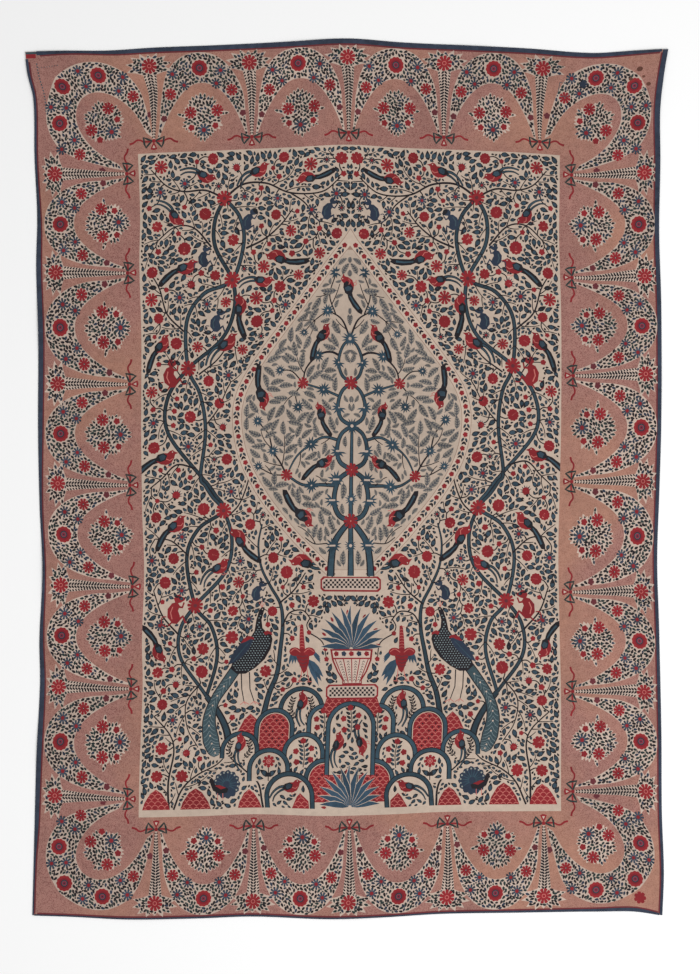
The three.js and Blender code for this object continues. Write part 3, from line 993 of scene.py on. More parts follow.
def scatter_flowers(room):
    """Flowers at random places that have room, each as far from the others as a few tries find."""
    placed = []
    turns = np.linspace(0, 2 * math.pi, 13)[:-1]
    for count, kind, small, large, clear in SCATTER:
        for _ in range(count):
            best, best_gap = None, -1.0
            for _ in range(SCATTER_TRIES):
                x, y = rng.uniform(*SCATTER_X), rng.uniform(*SCATTER_Y)
                radius = rng.uniform(small, large)
                if not room.free(np.vstack([ring(x, y, turns, radius + 4), (x, y)])):
                    continue
                gap = min([math.hypot(x - p[0], y - p[1]) - p[2] - radius for p in placed] + [FAR_OFF])
                if gap > best_gap:
                    best, best_gap = (x, y, radius, kind), gap
            if best and best_gap > clear:
                placed.append(best)
                room.take_disc(best[0], best[1], best[2] + 3)
    return placed


def half_flower(place):
    """A flower seen from the side: a fan of dark petals over a red cup."""
    spiky(place, 0, 0, 27, 7, 0, 180, "indigo")
    petals(place, 0, 2, 16, 8, "full", notch=0.8)
    art.paint("ink", place([(-7, -10), (7, -10), (3, -20), (-3, -20)]))


def paint_flower(x, y, radius, kind):
    choice = rng.random()
    if kind != "open":
        flower(whole, kind, x, y, radius)
    elif choice < 0.5:
        flower(whole, "full", x, y, radius)
    elif choice < 0.68:
        flower(whole, "rayed", x, y, radius)
        disc(whole, x, y, radius * 0.2, "maroon", 6)
    elif choice < 0.88:
        flower(whole, "layered", x, y, radius)
    else:
        half_flower(spot(x, y - 4, rng.uniform(-0.6, 0.6), radius / 26))


# The drop's tree, for its left half: rows of points, with widths at start and end
DROP_STEMS = [
    ([(-84, -398), (-80, -330), (-68, -262), (-34, -208), (0, -172)], 33, 24),
    ([(0, -172), (-50, -148), (-72, -86), (-54, -8), (0, 32)], 23, 20),
    ([(0, 32), (-50, 62), (-64, 116), (-46, 176), (0, 209)], 20, 17),
    ([(0, 209), (-46, 240), (-58, 296), (-40, 352), (0, 387)], 18, 15),
    ([(0, 387), (-38, 420), (-50, 476), (-32, 532), (0, 564)], 15, 12),
]
DROP_TWIGS = [
    ([(-66, -30), (-130, -26), (-205, -24), (-272, 17)], 17, 10),
    ([(-272, 17), (-300, 70), (-331, 120), (-350, 190), (-394, 244)], 8, 5),
    ([(-272, 17), (-330, 22), (-392, 56)], 6, 4.5),
    ([(-60, 152), (-120, 166), (-174, 140), (-232, 92), (-272, 17)], 14, 7),
    ([(-46, 330), (-118, 362), (-205, 392)], 12, 8),
    ([(-205, 392), (-250, 440), (-300, 446)], 6, 4.5),
    ([(-205, 392), (-236, 350), (-227, 298)], 6, 4.5),
    ([(-205, 392), (-190, 450), (-139, 500), (-84, 512), (-40, 494)], 6, 10),
    ([(0, 564), (-34, 640), (-93, 678)], 9, 5),
    ([(-60, 662), (-84, 740), (-58, 826)], 6, 4.5),
    ([(-84, 740), (-112, 748)], 4.5, 4),
    ([(-93, 678), (-150, 640), (-196, 596)], 5, 4),
    ([(-96, -262), (-150, -262), (-190, -236)], 5, 4),
]
DROP_SPIKES = [
    (-72, -272, 38, 0, 360), (-78, -88, 36, 120, 240), (-66, -6, 36, 0, 360), (-60, 106, 36, 120, 240),
    (-118, 362, 33, 0, 360), (-139, 500, 31, 0, 360), (-54, 286, 35, 120, 240), (-50, 470, 33, 120, 240),
    (-174, 140, 34, 0, 360), (-168, -28, 34, 0, 360), (-93, 678, 31, 0, 360), (-58, 834, 28, 20, 320),
    (-394, 246, 28, 0, 360), (-331, 120, 28, 0, 360), (-392, 58, 24, 0, 360), (-300, 446, 24, 0, 360),
    (-227, 296, 29, 0, 360), (-196, 594, 22, 0, 360),
]
DROP_ROSETTES = [(-272, 17, 25), (-205, 392, 24)]
DROP_MIDDLE = [("rosette", 0, -172, 31), ("rosette", 0, 32, 28), ("star", 0, 209, 36),
               ("rosette", 0, 387, 29), ("star", 0, 564, 36), ("star", 0, -274, 27), ("star", 0, -84, 29)]
DROP_BANDS = [(-76, -272), (-80, -88), (-66, -6), (-56, 108)]
# Rows of (x, y, turn in degrees, size, flip)
DROP_BIRDS = [(-113, 580, 42, 1.0, 1), (-372, 344, 116, 1.1, -1), (-128, 268, 92, 0.92, 1),
              (-118, 60, 16, 0.95, 1), (-196, -146, 150, 1.15, -1)]
DROP_BIRD_SIZE = 0.88
MIDDLE_BIRD = spot(-4, 776, math.radians(96), 0.92)


def drop_panel():
    """The drop-shaped panel: its flowered strip, a bamboo-like tree, birds and feathered leaves."""
    field_mode(False)
    for dye, inset in (("thread", -2.2), ("ground", 0), ("thread", DROP_STRIP), ("ground", DROP_STRIP + 2.2)):
        art.paint(dye, drop_outline(inset))
    field_mode(True)
    for point, way in zip(*along_line(drop_line(DROP_STRIP / 2), FLORET_STEP)):
        ahead = unit_vector(way)
        flower(whole, "small", *point, 11)
        for hand in (-1, 1):
            side = unit_vector(way + math.pi / 2) * hand
            leaf(whole, point + ahead * 13 + side * 3, way + hand * 0.5, 21, 11, "leaf")
            leaf(whole, point + ahead * 28 - side * 2, way + hand * 0.7, 19, 10, "ink")
    room = Room((-480, -400), (2, 990))
    room.keep_to(drop_outline(DROP_STRIP + 8))
    lines = []
    for points, start, end in DROP_TWIGS:
        line = curve(points, 6)
        stroke(whole, "ink", line, start, end)
        if start > THICK_FROM:
            stroke(whole, "teal", line, start * 0.6, end * 0.5)
        room.take_line(line, start)
        lines.append(line)
    for points, start, end in DROP_STEMS:
        line = curve(points, 8)
        stroke(whole, "ink", line, start, end)
        stroke(whole, "teal", line, start * 0.66, end * 0.6)
        room.take_line(line, start)
        room.take_line(line * (-1, 1), start)
    for x, y, radius, start, sweep in DROP_SPIKES:
        spiky(whole, x, y, radius, 12 if sweep == 360 else 8, start, sweep)
        disc(whole, x, y, 3.6, "cream", 6)
        room.take_disc(x, y, radius * 0.95)
    for x, y, radius in DROP_ROSETTES:
        flower(whole, "rosette", x, y, radius)
        room.take_disc(x, y, radius + 2)
    for x, y, turn, size, flip in DROP_BIRDS:
        place = spot(x, y, math.radians(turn), size * DROP_BIRD_SIZE, flip)
        bird(place, paddle=True, dark=True)
        room.take(place(BIRD_SPACE))
    field_mode(False)
    bird(MIDDLE_BIRD, paddle=True, dark=True)
    for hand in (1, -1):
        room.take(MIDDLE_BIRD(BIRD_SPACE) * (hand, 1))
    middle_stem = [(0, -398), (0, -172), (0, 209)]
    stroke(whole, "ink", middle_stem, 27, 13)
    stroke(whole, "teal", middle_stem, 18, 7)
    room.take_line(middle_stem, 26)
    for kind, x, y, radius in DROP_MIDDLE:
        if kind == "rosette":
            flower(whole, kind, x, y, radius)
        else:
            spiky(whole, x, y, radius, 14)
            disc(whole, x, y, 7, "cream", 7)
        room.take_disc(x, y, radius + 3)
    field_mode(True)
    for x, y in DROP_BANDS:
        art.paint("cream", box(x - 13, x + 13, y - 3.5, y + 3.5))
    twigs = grow_sprigs(room, lines, 70.0, (60, 130), FEATHER_SIZES, feather)
    grow_sprigs(room, twigs, 60.0, (50, 90), FEATHER_SIZES, feather)
    fill_with_leaves(room, FEATHER_SIZES, feather, 17.0, 1.05)


def cushion(x, y, half_wide, half_high):
    """A checked cushion with a red rim."""
    cut = 12
    rim = [(sx * (half_wide - a), sy * (half_high - b)) for sx, sy, order in
           ((-1, -1, 1), (-1, 1, -1), (1, 1, 1), (1, -1, -1)) for a, b in ((cut, 0), (0, cut))[::order]]
    rim = np.array(rim, float)
    art.paint("red", rim + (x, y))
    art.paint("cream", rim * ((half_wide - 7) / half_wide, (half_high - 7) / half_high) + (x, y))
    check = 9.2
    columns, rows = int((half_wide - 11) * 2 / check), int((half_high - 9) * 2 / check)
    for i in range(columns):
        for j in range(i % 2, rows, 2):
            cx, cy = x + (i - (columns - 1) / 2) * check, y + (j - (rows - 1) / 2) * check
            half = check / 2 - 0.15
            art.paint("ink", box(cx - half, cx + half, cy - half, cy + half))


def scaled_mound(outline, pitch=27.0, eyes=False):
    """A heap of overlapping red scales, each edged with a pale line."""
    outline = np.asarray(outline, float)
    low, high = outline.min(0), outline.max(0)
    art.paint("red", outline)
    turns = np.radians(np.linspace(12, 168, 7))
    for k, y in enumerate(np.arange(high[1] - 4, low[1], -pitch * 0.55)):
        for x in np.arange(low[0] + (pitch / 2 if k % 2 else 0), high[0], pitch):
            arc = ring(x, y - pitch * 0.5, turns, pitch / 2)
            arc = arc[inside(outline, arc)]
            if len(arc) > 2:
                stroke(whole, "rose", arc, 2.6)
            if eyes and len(arc) == 7 and rng.random() < 0.4:
                disc(whole, x, y - pitch * 0.4, 3.6, "ink", 6)


def little_tree(x, foot, rise):
    stem = curve([(x, foot), (x + 4, foot + rise * 0.5), (x - 3, foot + rise)], 4)
    stroke(whole, "ink", stem, 3.6)
    for point, way in zip(*along_line(stem, 17)):
        for side in (-0.9, 0.9):
            leaf(whole, point + unit_vector(way + side) * 4, way + side, 25, 13, "leaf")
    for px, share in ((-32, 0.62), (32, 0.74), (-4, 1.04), (30, 0.3), (-28, 0.2)):
        flower(whole, "small", x + px, foot + rise * share, 13)


def leafy_arc(points):
    """A curved sprig of small dark leaves."""
    line = curve(points, 4)
    stroke(whole, "ink", line, 2.6)
    for point, way in zip(*along_line(line, 12.0)):
        for side in (-0.8, 0.8):
            leaf(whole, point + unit_vector(way + side) * 2, way + side, 16, 8.5, "ink")


HOLLOW_SIZES = [(30, 16), (23, 13), (17, 10)]


def arched_hillock(x, y, half_wide, rise, foot, fill):
    """A hillock: a broad teal arch over what grows or stands inside it."""
    def line(inset):
        return dome(x, y, half_wide - inset, rise - inset, foot, 22)

    def seat(place):
        bird(place)
        room.take(place(BIRD_SPACE), 3.0)

    for dye, inset in (("ink", 0), ("teal", 3.5), ("ink", 17), ("ground", 21)):
        art.paint(dye, line(inset))
    if fill == "scales":
        scaled_mound(line(24), eyes=True)
        return
    room = Room((x - half_wide, foot - 6), (x + half_wide, y + rise))
    room.keep_to(line(27))
    if fill == "bird":
        seat(spot(x + 4, y + rise * 0.3, 1.25, 0.86))
        for hand in (-1, 1):
            arc = [(x + hand * 20, y - rise * 0.4), (x + hand * 46, y), (x + hand * 36, y + rise * 0.5)]
            leafy_arc(arc)
            room.take_line(curve(arc, 4), 24)
    elif fill == "flower":
        stroke(whole, "ink", [(x, foot), (x, y + rise * 0.2)], 4)
        petals(whole, x, y + rise * 0.36, 26, 8, "layered", notch=0.6)
        room.take_disc(x, y + rise * 0.36, 29)
        for hand in (-1, 1):
            try_leaf(room, (x, y - rise * 0.35), math.pi / 2 - hand * 0.9, [(44, 24)], field_leaf)
            try_leaf(room, (x + hand * 44, y - rise * 0.3), math.pi / 2 + hand * 0.1, [(38, 16)], field_leaf)
        room.take_line([(x, foot), (x, y)], 6)
    elif fill == "mound":
        seat(spot(x + 6, y + rise * 0.35, 0.2, 0.86))
        heap = [(x + 8, foot), (x + 30, foot + 46), (x + 44, foot + 62), (x + half_wide - 26, foot + 30),
                (x + half_wide - 24, foot)]
        scaled_mound(heap)
        room.take(heap, 4.0)
    elif fill == "plant":
        little_tree(x, y - rise * 0.6, rise * 1.15)
        room.take([(x - 44, y - rise * 0.5), (x + 44, y - rise * 0.5), (x + 40, y + rise * 0.7),
                   (x - 40, y + rise * 0.7)])
    else:
        for px, turn, hand in ((-50, 1.1, 1), (50, math.pi - 1.1, -1)):
            seat(spot(x + px, y - 66, turn, 0.86, hand))
        little_tree(x, y - rise * 0.3, rise)
        room.take([(x - 38, y - 20), (x + 38, y - 20), (x + 36, y + 76), (x - 36, y + 76)])
    fill_with_leaves(room, HOLLOW_SIZES, field_leaf, 12.0, 1.25)


# Rows of (x, y of the springing, half width, rise, foot, what is in it), from the back forwards
HILLOCKS = [
    (-214, -936, 98, 98, -1040, "bird"), (-116, -984, 74, 72, -1090, "plant"),
    (-322, -1010, 84, 84, -1120, "scales"), (-462, -1100, 84, 82, -1128, "bird"),
    (-196, -1118, 90, 90, -1210, "plant"), (-338, -1180, 90, 88, -1228, "flower"),
    (-104, -1220, 90, 88, -1310, "scales"), (-250, -1288, 104, 100, FOOT_LINE, "mound"),
]
# Rows of (x, half width, foot, rise) of the heaps of red scales; the first is behind the hillocks
HEAPS = [(-424, 60, -1060, 112), (-811, 58, FOOT_LINE, 82), (-646, 64, FOOT_LINE, 86),
         (-418, 50, FOOT_LINE, 76)]


def heap_outline(x, half_wide, foot, rise):
    shares = ((-1, 0), (-0.84, 0.34), (-0.42, 0.8), (0, 1), (0.42, 0.8), (0.84, 0.34), (1, 0))
    return [(x + half_wide * a, foot + rise * b) for a, b in shares]


PEACOCK_BODY = [(-44, -44), (-30, 0), (-2, 46), (40, 78), (58, 104), (66, 150), (78, 190), (90, 204),
                (102, 200), (98, 184), (88, 150), (92, 116), (112, 94), (128, 92), (134, 70), (124, 30),
                (98, -10), (58, -44), (18, -66), (-18, -66)]
PEACOCK_WING = [(-56, -30), (-30, 22), (4, 62), (36, 80), (52, 66), (34, 30), (0, -2), (-34, -22)]
# Rows of (point, width) of the tail, from the body down
PEACOCK_TAIL = [((-10, -30), 44), ((-58, -96), 46), ((-108, -170), 42), ((-128, -250), 58),
                ((-116, -330), 72), ((-98, -378), 56), ((-90, -398), 22)]


def peacock(place):
    """A standing peacock with a netted body and a long hatched tail that sweeps down."""
    for x, lean in ((0, 16), (34, 24)):
        stroke(place, "ink", [(x, -60), (x + 4, -128), (x + lean, -180)], 5, 3.5)
        for toe in (-16, 6, 22):
            stroke(place, "rose", [(x + lean, -178), (x + lean + toe, -190)], 2.6)
    spine = curve([row[0] for row in PEACOCK_TAIL], 4)
    half = np.interp(np.linspace(0, 1, len(spine)), np.linspace(0, 1, len(PEACOCK_TAIL)),
                     [row[1] / 2 for row in PEACOCK_TAIL])[:, None]
    way = np.gradient(spine, axis=0)
    side = np.column_stack([-way[:, 1], way[:, 0]]) / np.linalg.norm(way, axis=1, keepdims=True)
    for dye, less in (("ink", 0), ("slate", 4)):
        reach = np.maximum(half - less, 1)
        art.paint(dye, place(np.vstack([spine + side * reach, (spine - side * reach)[::-1]])))
    for k in range(3, len(spine) - 2):
        for hand in (-1, 1):
            tip = spine[k] + side[k] * hand * (half[k] - 6) + way[k] * 1.2
            stroke(place, "net", [spine[k], (spine[k] + tip) / 2 + way[k] * 0.25, tip], 1.7)
        if k % 2:
            disc(place, *spine[k], 4, "cream", 6)
    art.paint("ink", place(PEACOCK_BODY))
    body = np.array(PEACOCK_BODY, float)
    for row, y in enumerate(np.arange(-60, 196, 9.5)):
        for x in np.arange(-40 + (6 if row % 2 else 0), 130, 12.0):
            tick = np.array([(x, y), (x + 4, y + 2.2), (x + 7.5, y - 1.6), (x + 3.6, y - 3.4)])
            if inside(body, (tick - (x + 4, y)) * 2.2 + (x + 4, y)).all():
                art.paint("net", place(tick))
    art.paint("indigo", place(PEACOCK_WING))
    for k in range(4):
        stroke(place, "teal", [(-34 + 16 * k, -16 + 18 * k), (-12 + 15 * k, 8 + 16 * k)], 3)
    art.paint("red", place([(0, 56), (14, 76), (34, 86), (54, 80), (58, 70), (40, 72), (20, 62)]))
    art.paint("red", place([(96, 98), (112, 106), (130, 98), (134, 86), (118, 92), (104, 86)]))
    disc(place, 92, 193, 2.8, "cream", 5)
    stroke(place, "ink", [(98, 194), (118, 184)], 5, 1.8)
    for tip in ((78, 222), (90, 228), (102, 222)):
        stroke(place, "rose", [(90, 202), tip], 2.4)


def pheasant(place):
    """A red bird with a banded neck, seen from behind, with drooping blue wings and a feathered tail."""
    for x, lean in ((-4, -14), (18, 8)):
        stroke(place, "rose", [(x, -56), (x + lean * 0.3, -84), (x + lean, -108)], 3.4)
        stroke(place, "rose", [(x + lean - 12, -110), (x + lean + 12, -108)], 2.6)
    for shift in (0, 18, 36):
        root = (22 + shift * 0.3, -14 - shift * 0.2)
        leaf(place, root, math.radians(-68 + shift * 0.45), 122 - shift * 0.9, 26, "blade")
    for k in range(4):
        leaf(place, (-40 + 5 * k, 14), math.radians(-110 + 9 * k), 58 - 4 * k, 15, "blade")
        leaf(place, (44 - 4 * k, 18), math.radians(-58 + 9 * k), 62 - 3 * k, 15, "blade")
    art.paint("red", place([(-30, 6), (-18, 22), (0, 26), (22, 22), (32, 6), (26, -34), (14, -66), (2, -76),
                            (-6, -60), (-18, -30)]))
    for hand in (-1, 1):
        disc(place, hand * 31, 12, 25, "red", 12, 0.7)
    art.paint("red", place([(-11, 24), (-9, 78), (-6, 112), (0, 122), (8, 118), (10, 78), (13, 24)]))
    for y, half_wide in ((104, 6), (92, 7), (80, 8), (68, 9), (56, 9), (44, 10), (32, 11)):
        stroke(place, "rose", [(-half_wide, y - 2), (0, y + 1), (half_wide, y - 2)], 1.8)
    for y, half_wide in ((-2, 24), (-16, 22), (-30, 18), (-44, 14)):
        stroke(place, "maroon", [(-half_wide, y), (2, y - 6), (half_wide, y)], 4)
    for hand in (-1, 1):
        stroke(place, "rose", curve([(hand * 8, 10), (hand * 30, 24), (hand * 50, 12)], 3), 2.6)
    stroke(place, "rose", [(-2, 118), (-18, 112)], 3.4, 1.6)


def fan_peacock(place):
    """A small peacock with its tail spread in a scalloped disc."""
    petals(place, 0, 0, 60, 13, "indigo", notch=0.88, blunt=0.3)
    for turn in np.radians(np.arange(-30, 215, 19)):
        stroke(place, "teal", [unit_vector(turn) * 14, unit_vector(turn) * 42], 5, 3)
        disc(place, *(unit_vector(turn) * 49), 4, "pale", 6)
    art.paint("ink", place([(-74, 22), (-64, 30), (-56, 22), (-50, 2), (-24, -4), (8, -18), (2, -34),
                            (-32, -38), (-58, -24), (-68, 0)]))
    art.paint("red", place([(-50, -4), (-30, -2), (-2, -14), (-24, -20)]))
    for x in (-38, -16):
        stroke(place, "rose", [(x, -36), (x, -62)], 3)


BLADES = 13


def fan_of_blades(y, reach, width, low_turn):
    """Narrow blue leaves that spread from a point of the middle line, with red tips between them."""
    for k, turn in enumerate(np.radians(np.linspace(low_turn, 180 - low_turn, BLADES))):
        length = reach * (0.72 + 0.28 * math.sin(turn))
        if k % 2 == 0:
            leaf(whole, np.array([0, y]) + unit_vector(turn + 0.1) * length * 0.8, turn, 24, 12, "red")
        for dye, more in (("ground", 5), ("blade", 0)):
            leaf(whole, np.array([0, y]) + unit_vector(turn) * 6, turn, length + more, width + more, dye,
                 0.22 * math.copysign(1, math.cos(turn)))


VASE_TOP, VASE_BOTTOM = -690, -836
GATE_Y, GATE_WIDE, GATE_FOOT = -1010, 108, -1200  # the arched hillock under the vase


def vase():
    """A footed bowl with stripes, and a plant of narrow blue leaves."""
    top, bottom = VASE_TOP, VASE_BOTTOM
    fan_of_blades(top, 168, 27, 4)
    bowl = mirrored([(90, top), (84, top - 44), (64, top - 92), (42, top - 128), (42, bottom)])
    art.paint("red", bowl)
    middle = (0, (top + bottom) / 2)
    art.paint("cream", middle + (bowl - middle) * (0.9, 0.91))
    stroke(whole, "red", [(-84, top - 38), (84, top - 38)], 6)
    for k, x in enumerate((-64, -32, 0, 32, 64)):
        flower(whole, "blue" if k % 2 else "small", x, top - 19, 11)
        stroke(whole, "red", [(x * 1.1, top - 40), (x * 0.5, bottom + 8)], 4)
        for share in np.linspace(0.1, 0.9, 8):
            cx, cy = (x + 17) * (1.08 - 0.56 * share), top - 42 + (bottom - top + 52) * share
            if x < 60:
                stroke(whole, "ink", [(cx - 5, cy - 3), (cx, cy + 3), (cx + 5, cy - 3)], 2.6)


PEACOCK_PLACE, PHEASANT_PLACE, FAN_PLACE = spot(-470, -720), spot(-211, -712), spot(-514, -1237)
PHEASANT_SPACE = [(-62, 26), (-40, 42), (-14, 40), (-16, 128), (14, 128), (14, 40), (44, 42), (66, 30),
                  (90, -40), (100, -146), (56, -120), (28, -70), (-14, -74), (-52, -52)]


def foot_scene():
    peacock(PEACOCK_PLACE)
    pheasant(PHEASANT_PLACE)
    scaled_mound(heap_outline(*HEAPS[0]))
    for row in HILLOCKS:
        arched_hillock(*row)
    for row in HEAPS[1:]:
        scaled_mound(heap_outline(*row))
    fan_peacock(FAN_PLACE)
    field_mode(False)
    scaled_mound([(-108, -890), (108, -890), (122, -930), (98, -976), (50, -1002), (0, -1008), (-50, -1002),
                  (-98, -976), (-122, -930)])
    arched_hillock(0, GATE_Y, GATE_WIDE, GATE_WIDE - 2, GATE_FOOT, "two birds")
    cushion(0, -429, 127, 31)
    vase()
    cushion(0, -865, 112, 31)
    fan_of_blades(FOOT_LINE + 6, 164, 26, 5)


def take_foot_scene(room):
    """Keeps the room of the foot scene from the field's leaves."""
    room.take(PEACOCK_PLACE(PEACOCK_BODY), 6.0)
    for point, wide in PEACOCK_TAIL:
        room.take_disc(*PEACOCK_PLACE(point)[0], wide / 2 + 4)
    room.take_line(PEACOCK_PLACE([point for point, _ in PEACOCK_TAIL[:5]]), 50)
    room.take(PEACOCK_PLACE([(-10, -60), (44, -60), (70, -194), (-6, -194)]))
    room.take(PHEASANT_PLACE(PHEASANT_SPACE), 3.0)
    room.take_disc(*FAN_PLACE((0, 0))[0], 66)
    room.take(box(-150, 10, -470, -392))
    turns = np.linspace(math.pi / 2, math.pi, 9)
    for y, reach in ((VASE_TOP, 170), (FOOT_LINE, 160), (GATE_Y, GATE_WIDE + 6)):
        room.take(np.vstack([[8, y + reach], ring(0, y, turns, reach), [8, y - 20]]))
    room.take([(-98, VASE_TOP), (-68, VASE_TOP - 100), (-48, VASE_BOTTOM - 4), (10, VASE_BOTTOM - 4),
               (10, VASE_TOP)])
    room.take(box(-118, 10, FOOT_LINE, VASE_BOTTOM + 4))
    for x, y, half_wide, rise, foot, _ in HILLOCKS:
        room.take(dome(x, y, half_wide, rise, foot - 8, 12), 4.0)
    for row in HEAPS:
        room.take(heap_outline(*row), 6.0)


PADDLE_SHARE = 0.45  # of the field's birds have a broad tail


def field():
    field_mode(True)
    room = Room((FIELD_LEFT - FIELD_MIDDLE + 8, FOOT_LINE), (-3, FIELD_TOP - 8))
    room.take(drop_outline(-8))
    trunks = [(strand, 17, 16) for strand in twine_strands()] + [(curve(p, 7), a, b) for p, a, b in BOUGHS]
    bird_places = [spot(x, y, math.radians(turn), size) for x, y, turn, size in BIRDS]
    for line, start, end in trunks:
        room.take_line(line, max(start, end))
    for x, y, _, _ in TWINE_FLOWERS:
        room.take_disc(x, y, 36)
    for place in bird_places:
        room.take(place(BIRD_SPACE))
    for x, y, turn, size, _ in MONKEYS:
        room.take_disc(*spot(x, y, math.radians(turn), size)((0, 14))[0], 34 * size)
    take_foot_scene(room)

    blooms = scatter_flowers(room)
    stems = grow_stems(np.vstack([line[::2] for line, _, _ in trunks]), [(x, y) for x, y, _, _ in blooms])
    for path in stems:
        stroke(whole, "ink", path, 5.6, 4.0)
        room.take_line(path, 4.0)
    for line, start, end in trunks:
        stroke(whole, "ink", line, start, end)
        if max(start, end) > THICK_FROM:
            stroke(whole, "bough", line, start * 0.6, end * 0.55)
    for x, y, _, _ in TWINE_FLOWERS:
        flower(whole, "crossing", x, y, 34)
        disc(whole, x, y, 8, "maroon", 8)
    for row in blooms:
        paint_flower(*row)
    for place in bird_places:
        bird(place, paddle=rng.random() < PADDLE_SHARE)
    for x, y, turn, size, dye in MONKEYS:
        monkey(spot(x, y, math.radians(turn), size), dye)
    lines = [line for line, _, _ in trunks]
    twigs = grow_sprigs(room, lines + stems, 38.0, (50, 130), LEAF_SIZES, field_leaf)
    twigs += grow_sprigs(room, twigs, 40.0, (45, 90), LEAF_SIZES, field_leaf)
    for line, start, end in trunks:
        leaves_along(room, line, 26.0, LEAF_SIZES, field_leaf, max(start, end) / 2 + 4)
    for path in stems:
        leaves_along(room, path, 22.0, LEAF_SIZES, field_leaf, 6.0)
    fill_with_leaves(room, FILL_SIZES, field_leaf, 9.5, 1.02)
    foot_scene()
    drop_panel()


field()


# Dyes. Each has its unevenness, the colour at a shape's edge, and rings of colour towards its heart.

def linear(red, green, blue):
    """A screen colour, 0 to 255, as Blender's linear colour."""
    return tuple(((c / 255 + 0.055) / 1.055) ** 2.4 for c in (red, green, blue)) + (1.0,)


DYES = {
    "ground": (0.12, (177, 159, 144)),
    "pink": (0.16, (149, 108, 99)),
    "cream": (0.12, (177, 158, 145)),
    "leaf": (0.26, (27, 26, 31), (0.27, (45, 61, 72))),
    "blade": (0.3, (46, 66, 82)),
    "ink": (0.2, (27, 24, 28)),
    "indigo": (0.2, (38, 47, 62)),
    "green": (0.2, (36, 47, 46)),
    "daisy": (0.15, (34, 36, 46)),
    "haze": (0.34, (50, 64, 78)),
    "red": (0.16, (121, 31, 36)),
    "maroon": (0.15, (92, 40, 46)),
    "rust": (0.15, (96, 40, 44)),
    "stain": (0.3, (92, 58, 48)),
    "rose": (0.1, (176, 100, 92)),
    "ringed": (0.12, (130, 34, 38), (0.26, (112, 28, 37)), (0.5, (40, 37, 45)), (0.62, (86, 76, 84)),
               (0.7, (118, 38, 54)), (0.88, (46, 36, 46))),
    "open": (0.15, (123, 30, 36), (0.64, (40, 34, 42)), (0.84, (180, 150, 140))),
    "rayed": (0.15, (127, 32, 37), (0.4, (176, 98, 92)), (0.58, (122, 30, 36))),
    "full": (0.15, (120, 29, 35), (0.26, (190, 108, 100)), (0.42, (116, 28, 35)), (0.8, (52, 26, 34))),
    "layered": (0.15, (123, 31, 36), (0.32, (188, 124, 114)), (0.44, (130, 36, 44)),
                (0.72, (184, 130, 118)), (0.86, (84, 36, 44))),
    "rosette": (0.12, (126, 33, 38), (0.56, (188, 136, 124)), (0.72, (128, 36, 44))),
    "teal": (0.3, (45, 65, 76)),
    "tuft": (0.25, (40, 59, 71)),
    "slate": (0.2, (55, 72, 78)),
    "bough": (0.3, (39, 55, 64)),
    "net": (0.15, (112, 124, 126)),
    "pale": (0.15, (136, 138, 130)),
    "feather": (0.16, (119, 112, 104)),
    "vein": (0.2, (62, 64, 70)),
    "thread": (0.15, (142, 114, 100)),
    "back": (0.1, (164, 146, 130)),
}
PINK_DOTS, PINK_WARM = (106, 60, 57), (168, 124, 98)
DYE_NAMES = list(DYES)


def link(tree, out, into):
    tree.links.new(out, into)


def add_node(tree, kind, **settings):
    node = tree.nodes.new(kind)
    for key, value in settings.items():
        setattr(node, key, value)
    return node


def noise(tree, coordinates, scale, detail=3.0, stretch=(1, 1, 1)):
    mapping = add_node(tree, "ShaderNodeMapping")
    mapping.inputs["Scale"].default_value = stretch
    link(tree, coordinates, mapping.inputs["Vector"])
    texture = add_node(tree, "ShaderNodeTexNoise")
    texture.inputs["Scale"].default_value = scale
    texture.inputs["Detail"].default_value = detail
    link(tree, mapping.outputs["Vector"], texture.inputs["Vector"])
    return texture.outputs["Fac"]


def math_node(tree, operation, a, b=None, clamp=False):
    node = add_node(tree, "ShaderNodeMath", operation=operation, use_clamp=clamp)
    for socket, value in zip(node.inputs, (a, b)):
        if value is None:
            continue
        if isinstance(value, (int, float)):
            socket.default_value = value
        else:
            link(tree, value, socket)
    return node.outputs[0]


def mix_colour(tree, blend_type, factor, a, b):
    node = add_node(tree, "ShaderNodeMix", data_type="RGBA", blend_type=blend_type)
    for socket, value in ((node.inputs[0], factor), (node.inputs[6], a), (node.inputs[7], b)):
        if isinstance(value, (int, float, tuple)):
            socket.default_value = value
        else:
            link(tree, value, socket)
    return node.outputs[2]


THREAD = 1.1 * MM  # distance between two threads of the weave
# Scales of the noises: large patches, blotches and threads, the grain of the pink and its warm tinge
PATCH_SCALE, BLOTCH_SCALE, GRAIN_SCALE, WARM_SCALE = 5.0, 40.0, 300.0, 1.6
SLUB_STRETCH = 22.0


def weave_height(tree, coordinates, pitch):
    """Plain weave: rows of threads that go over and under each other."""
    split = add_node(tree, "ShaderNodeSeparateXYZ")
    link(tree, coordinates, split.inputs[0])
    turn = math.pi / pitch
    across = math_node(tree, "SINE", math_node(tree, "MULTIPLY", split.outputs["X"], turn))
    along = math_node(tree, "SINE", math_node(tree, "MULTIPLY", split.outputs["Y"], turn))
    return math_node(tree, "MULTIPLY", across, along)


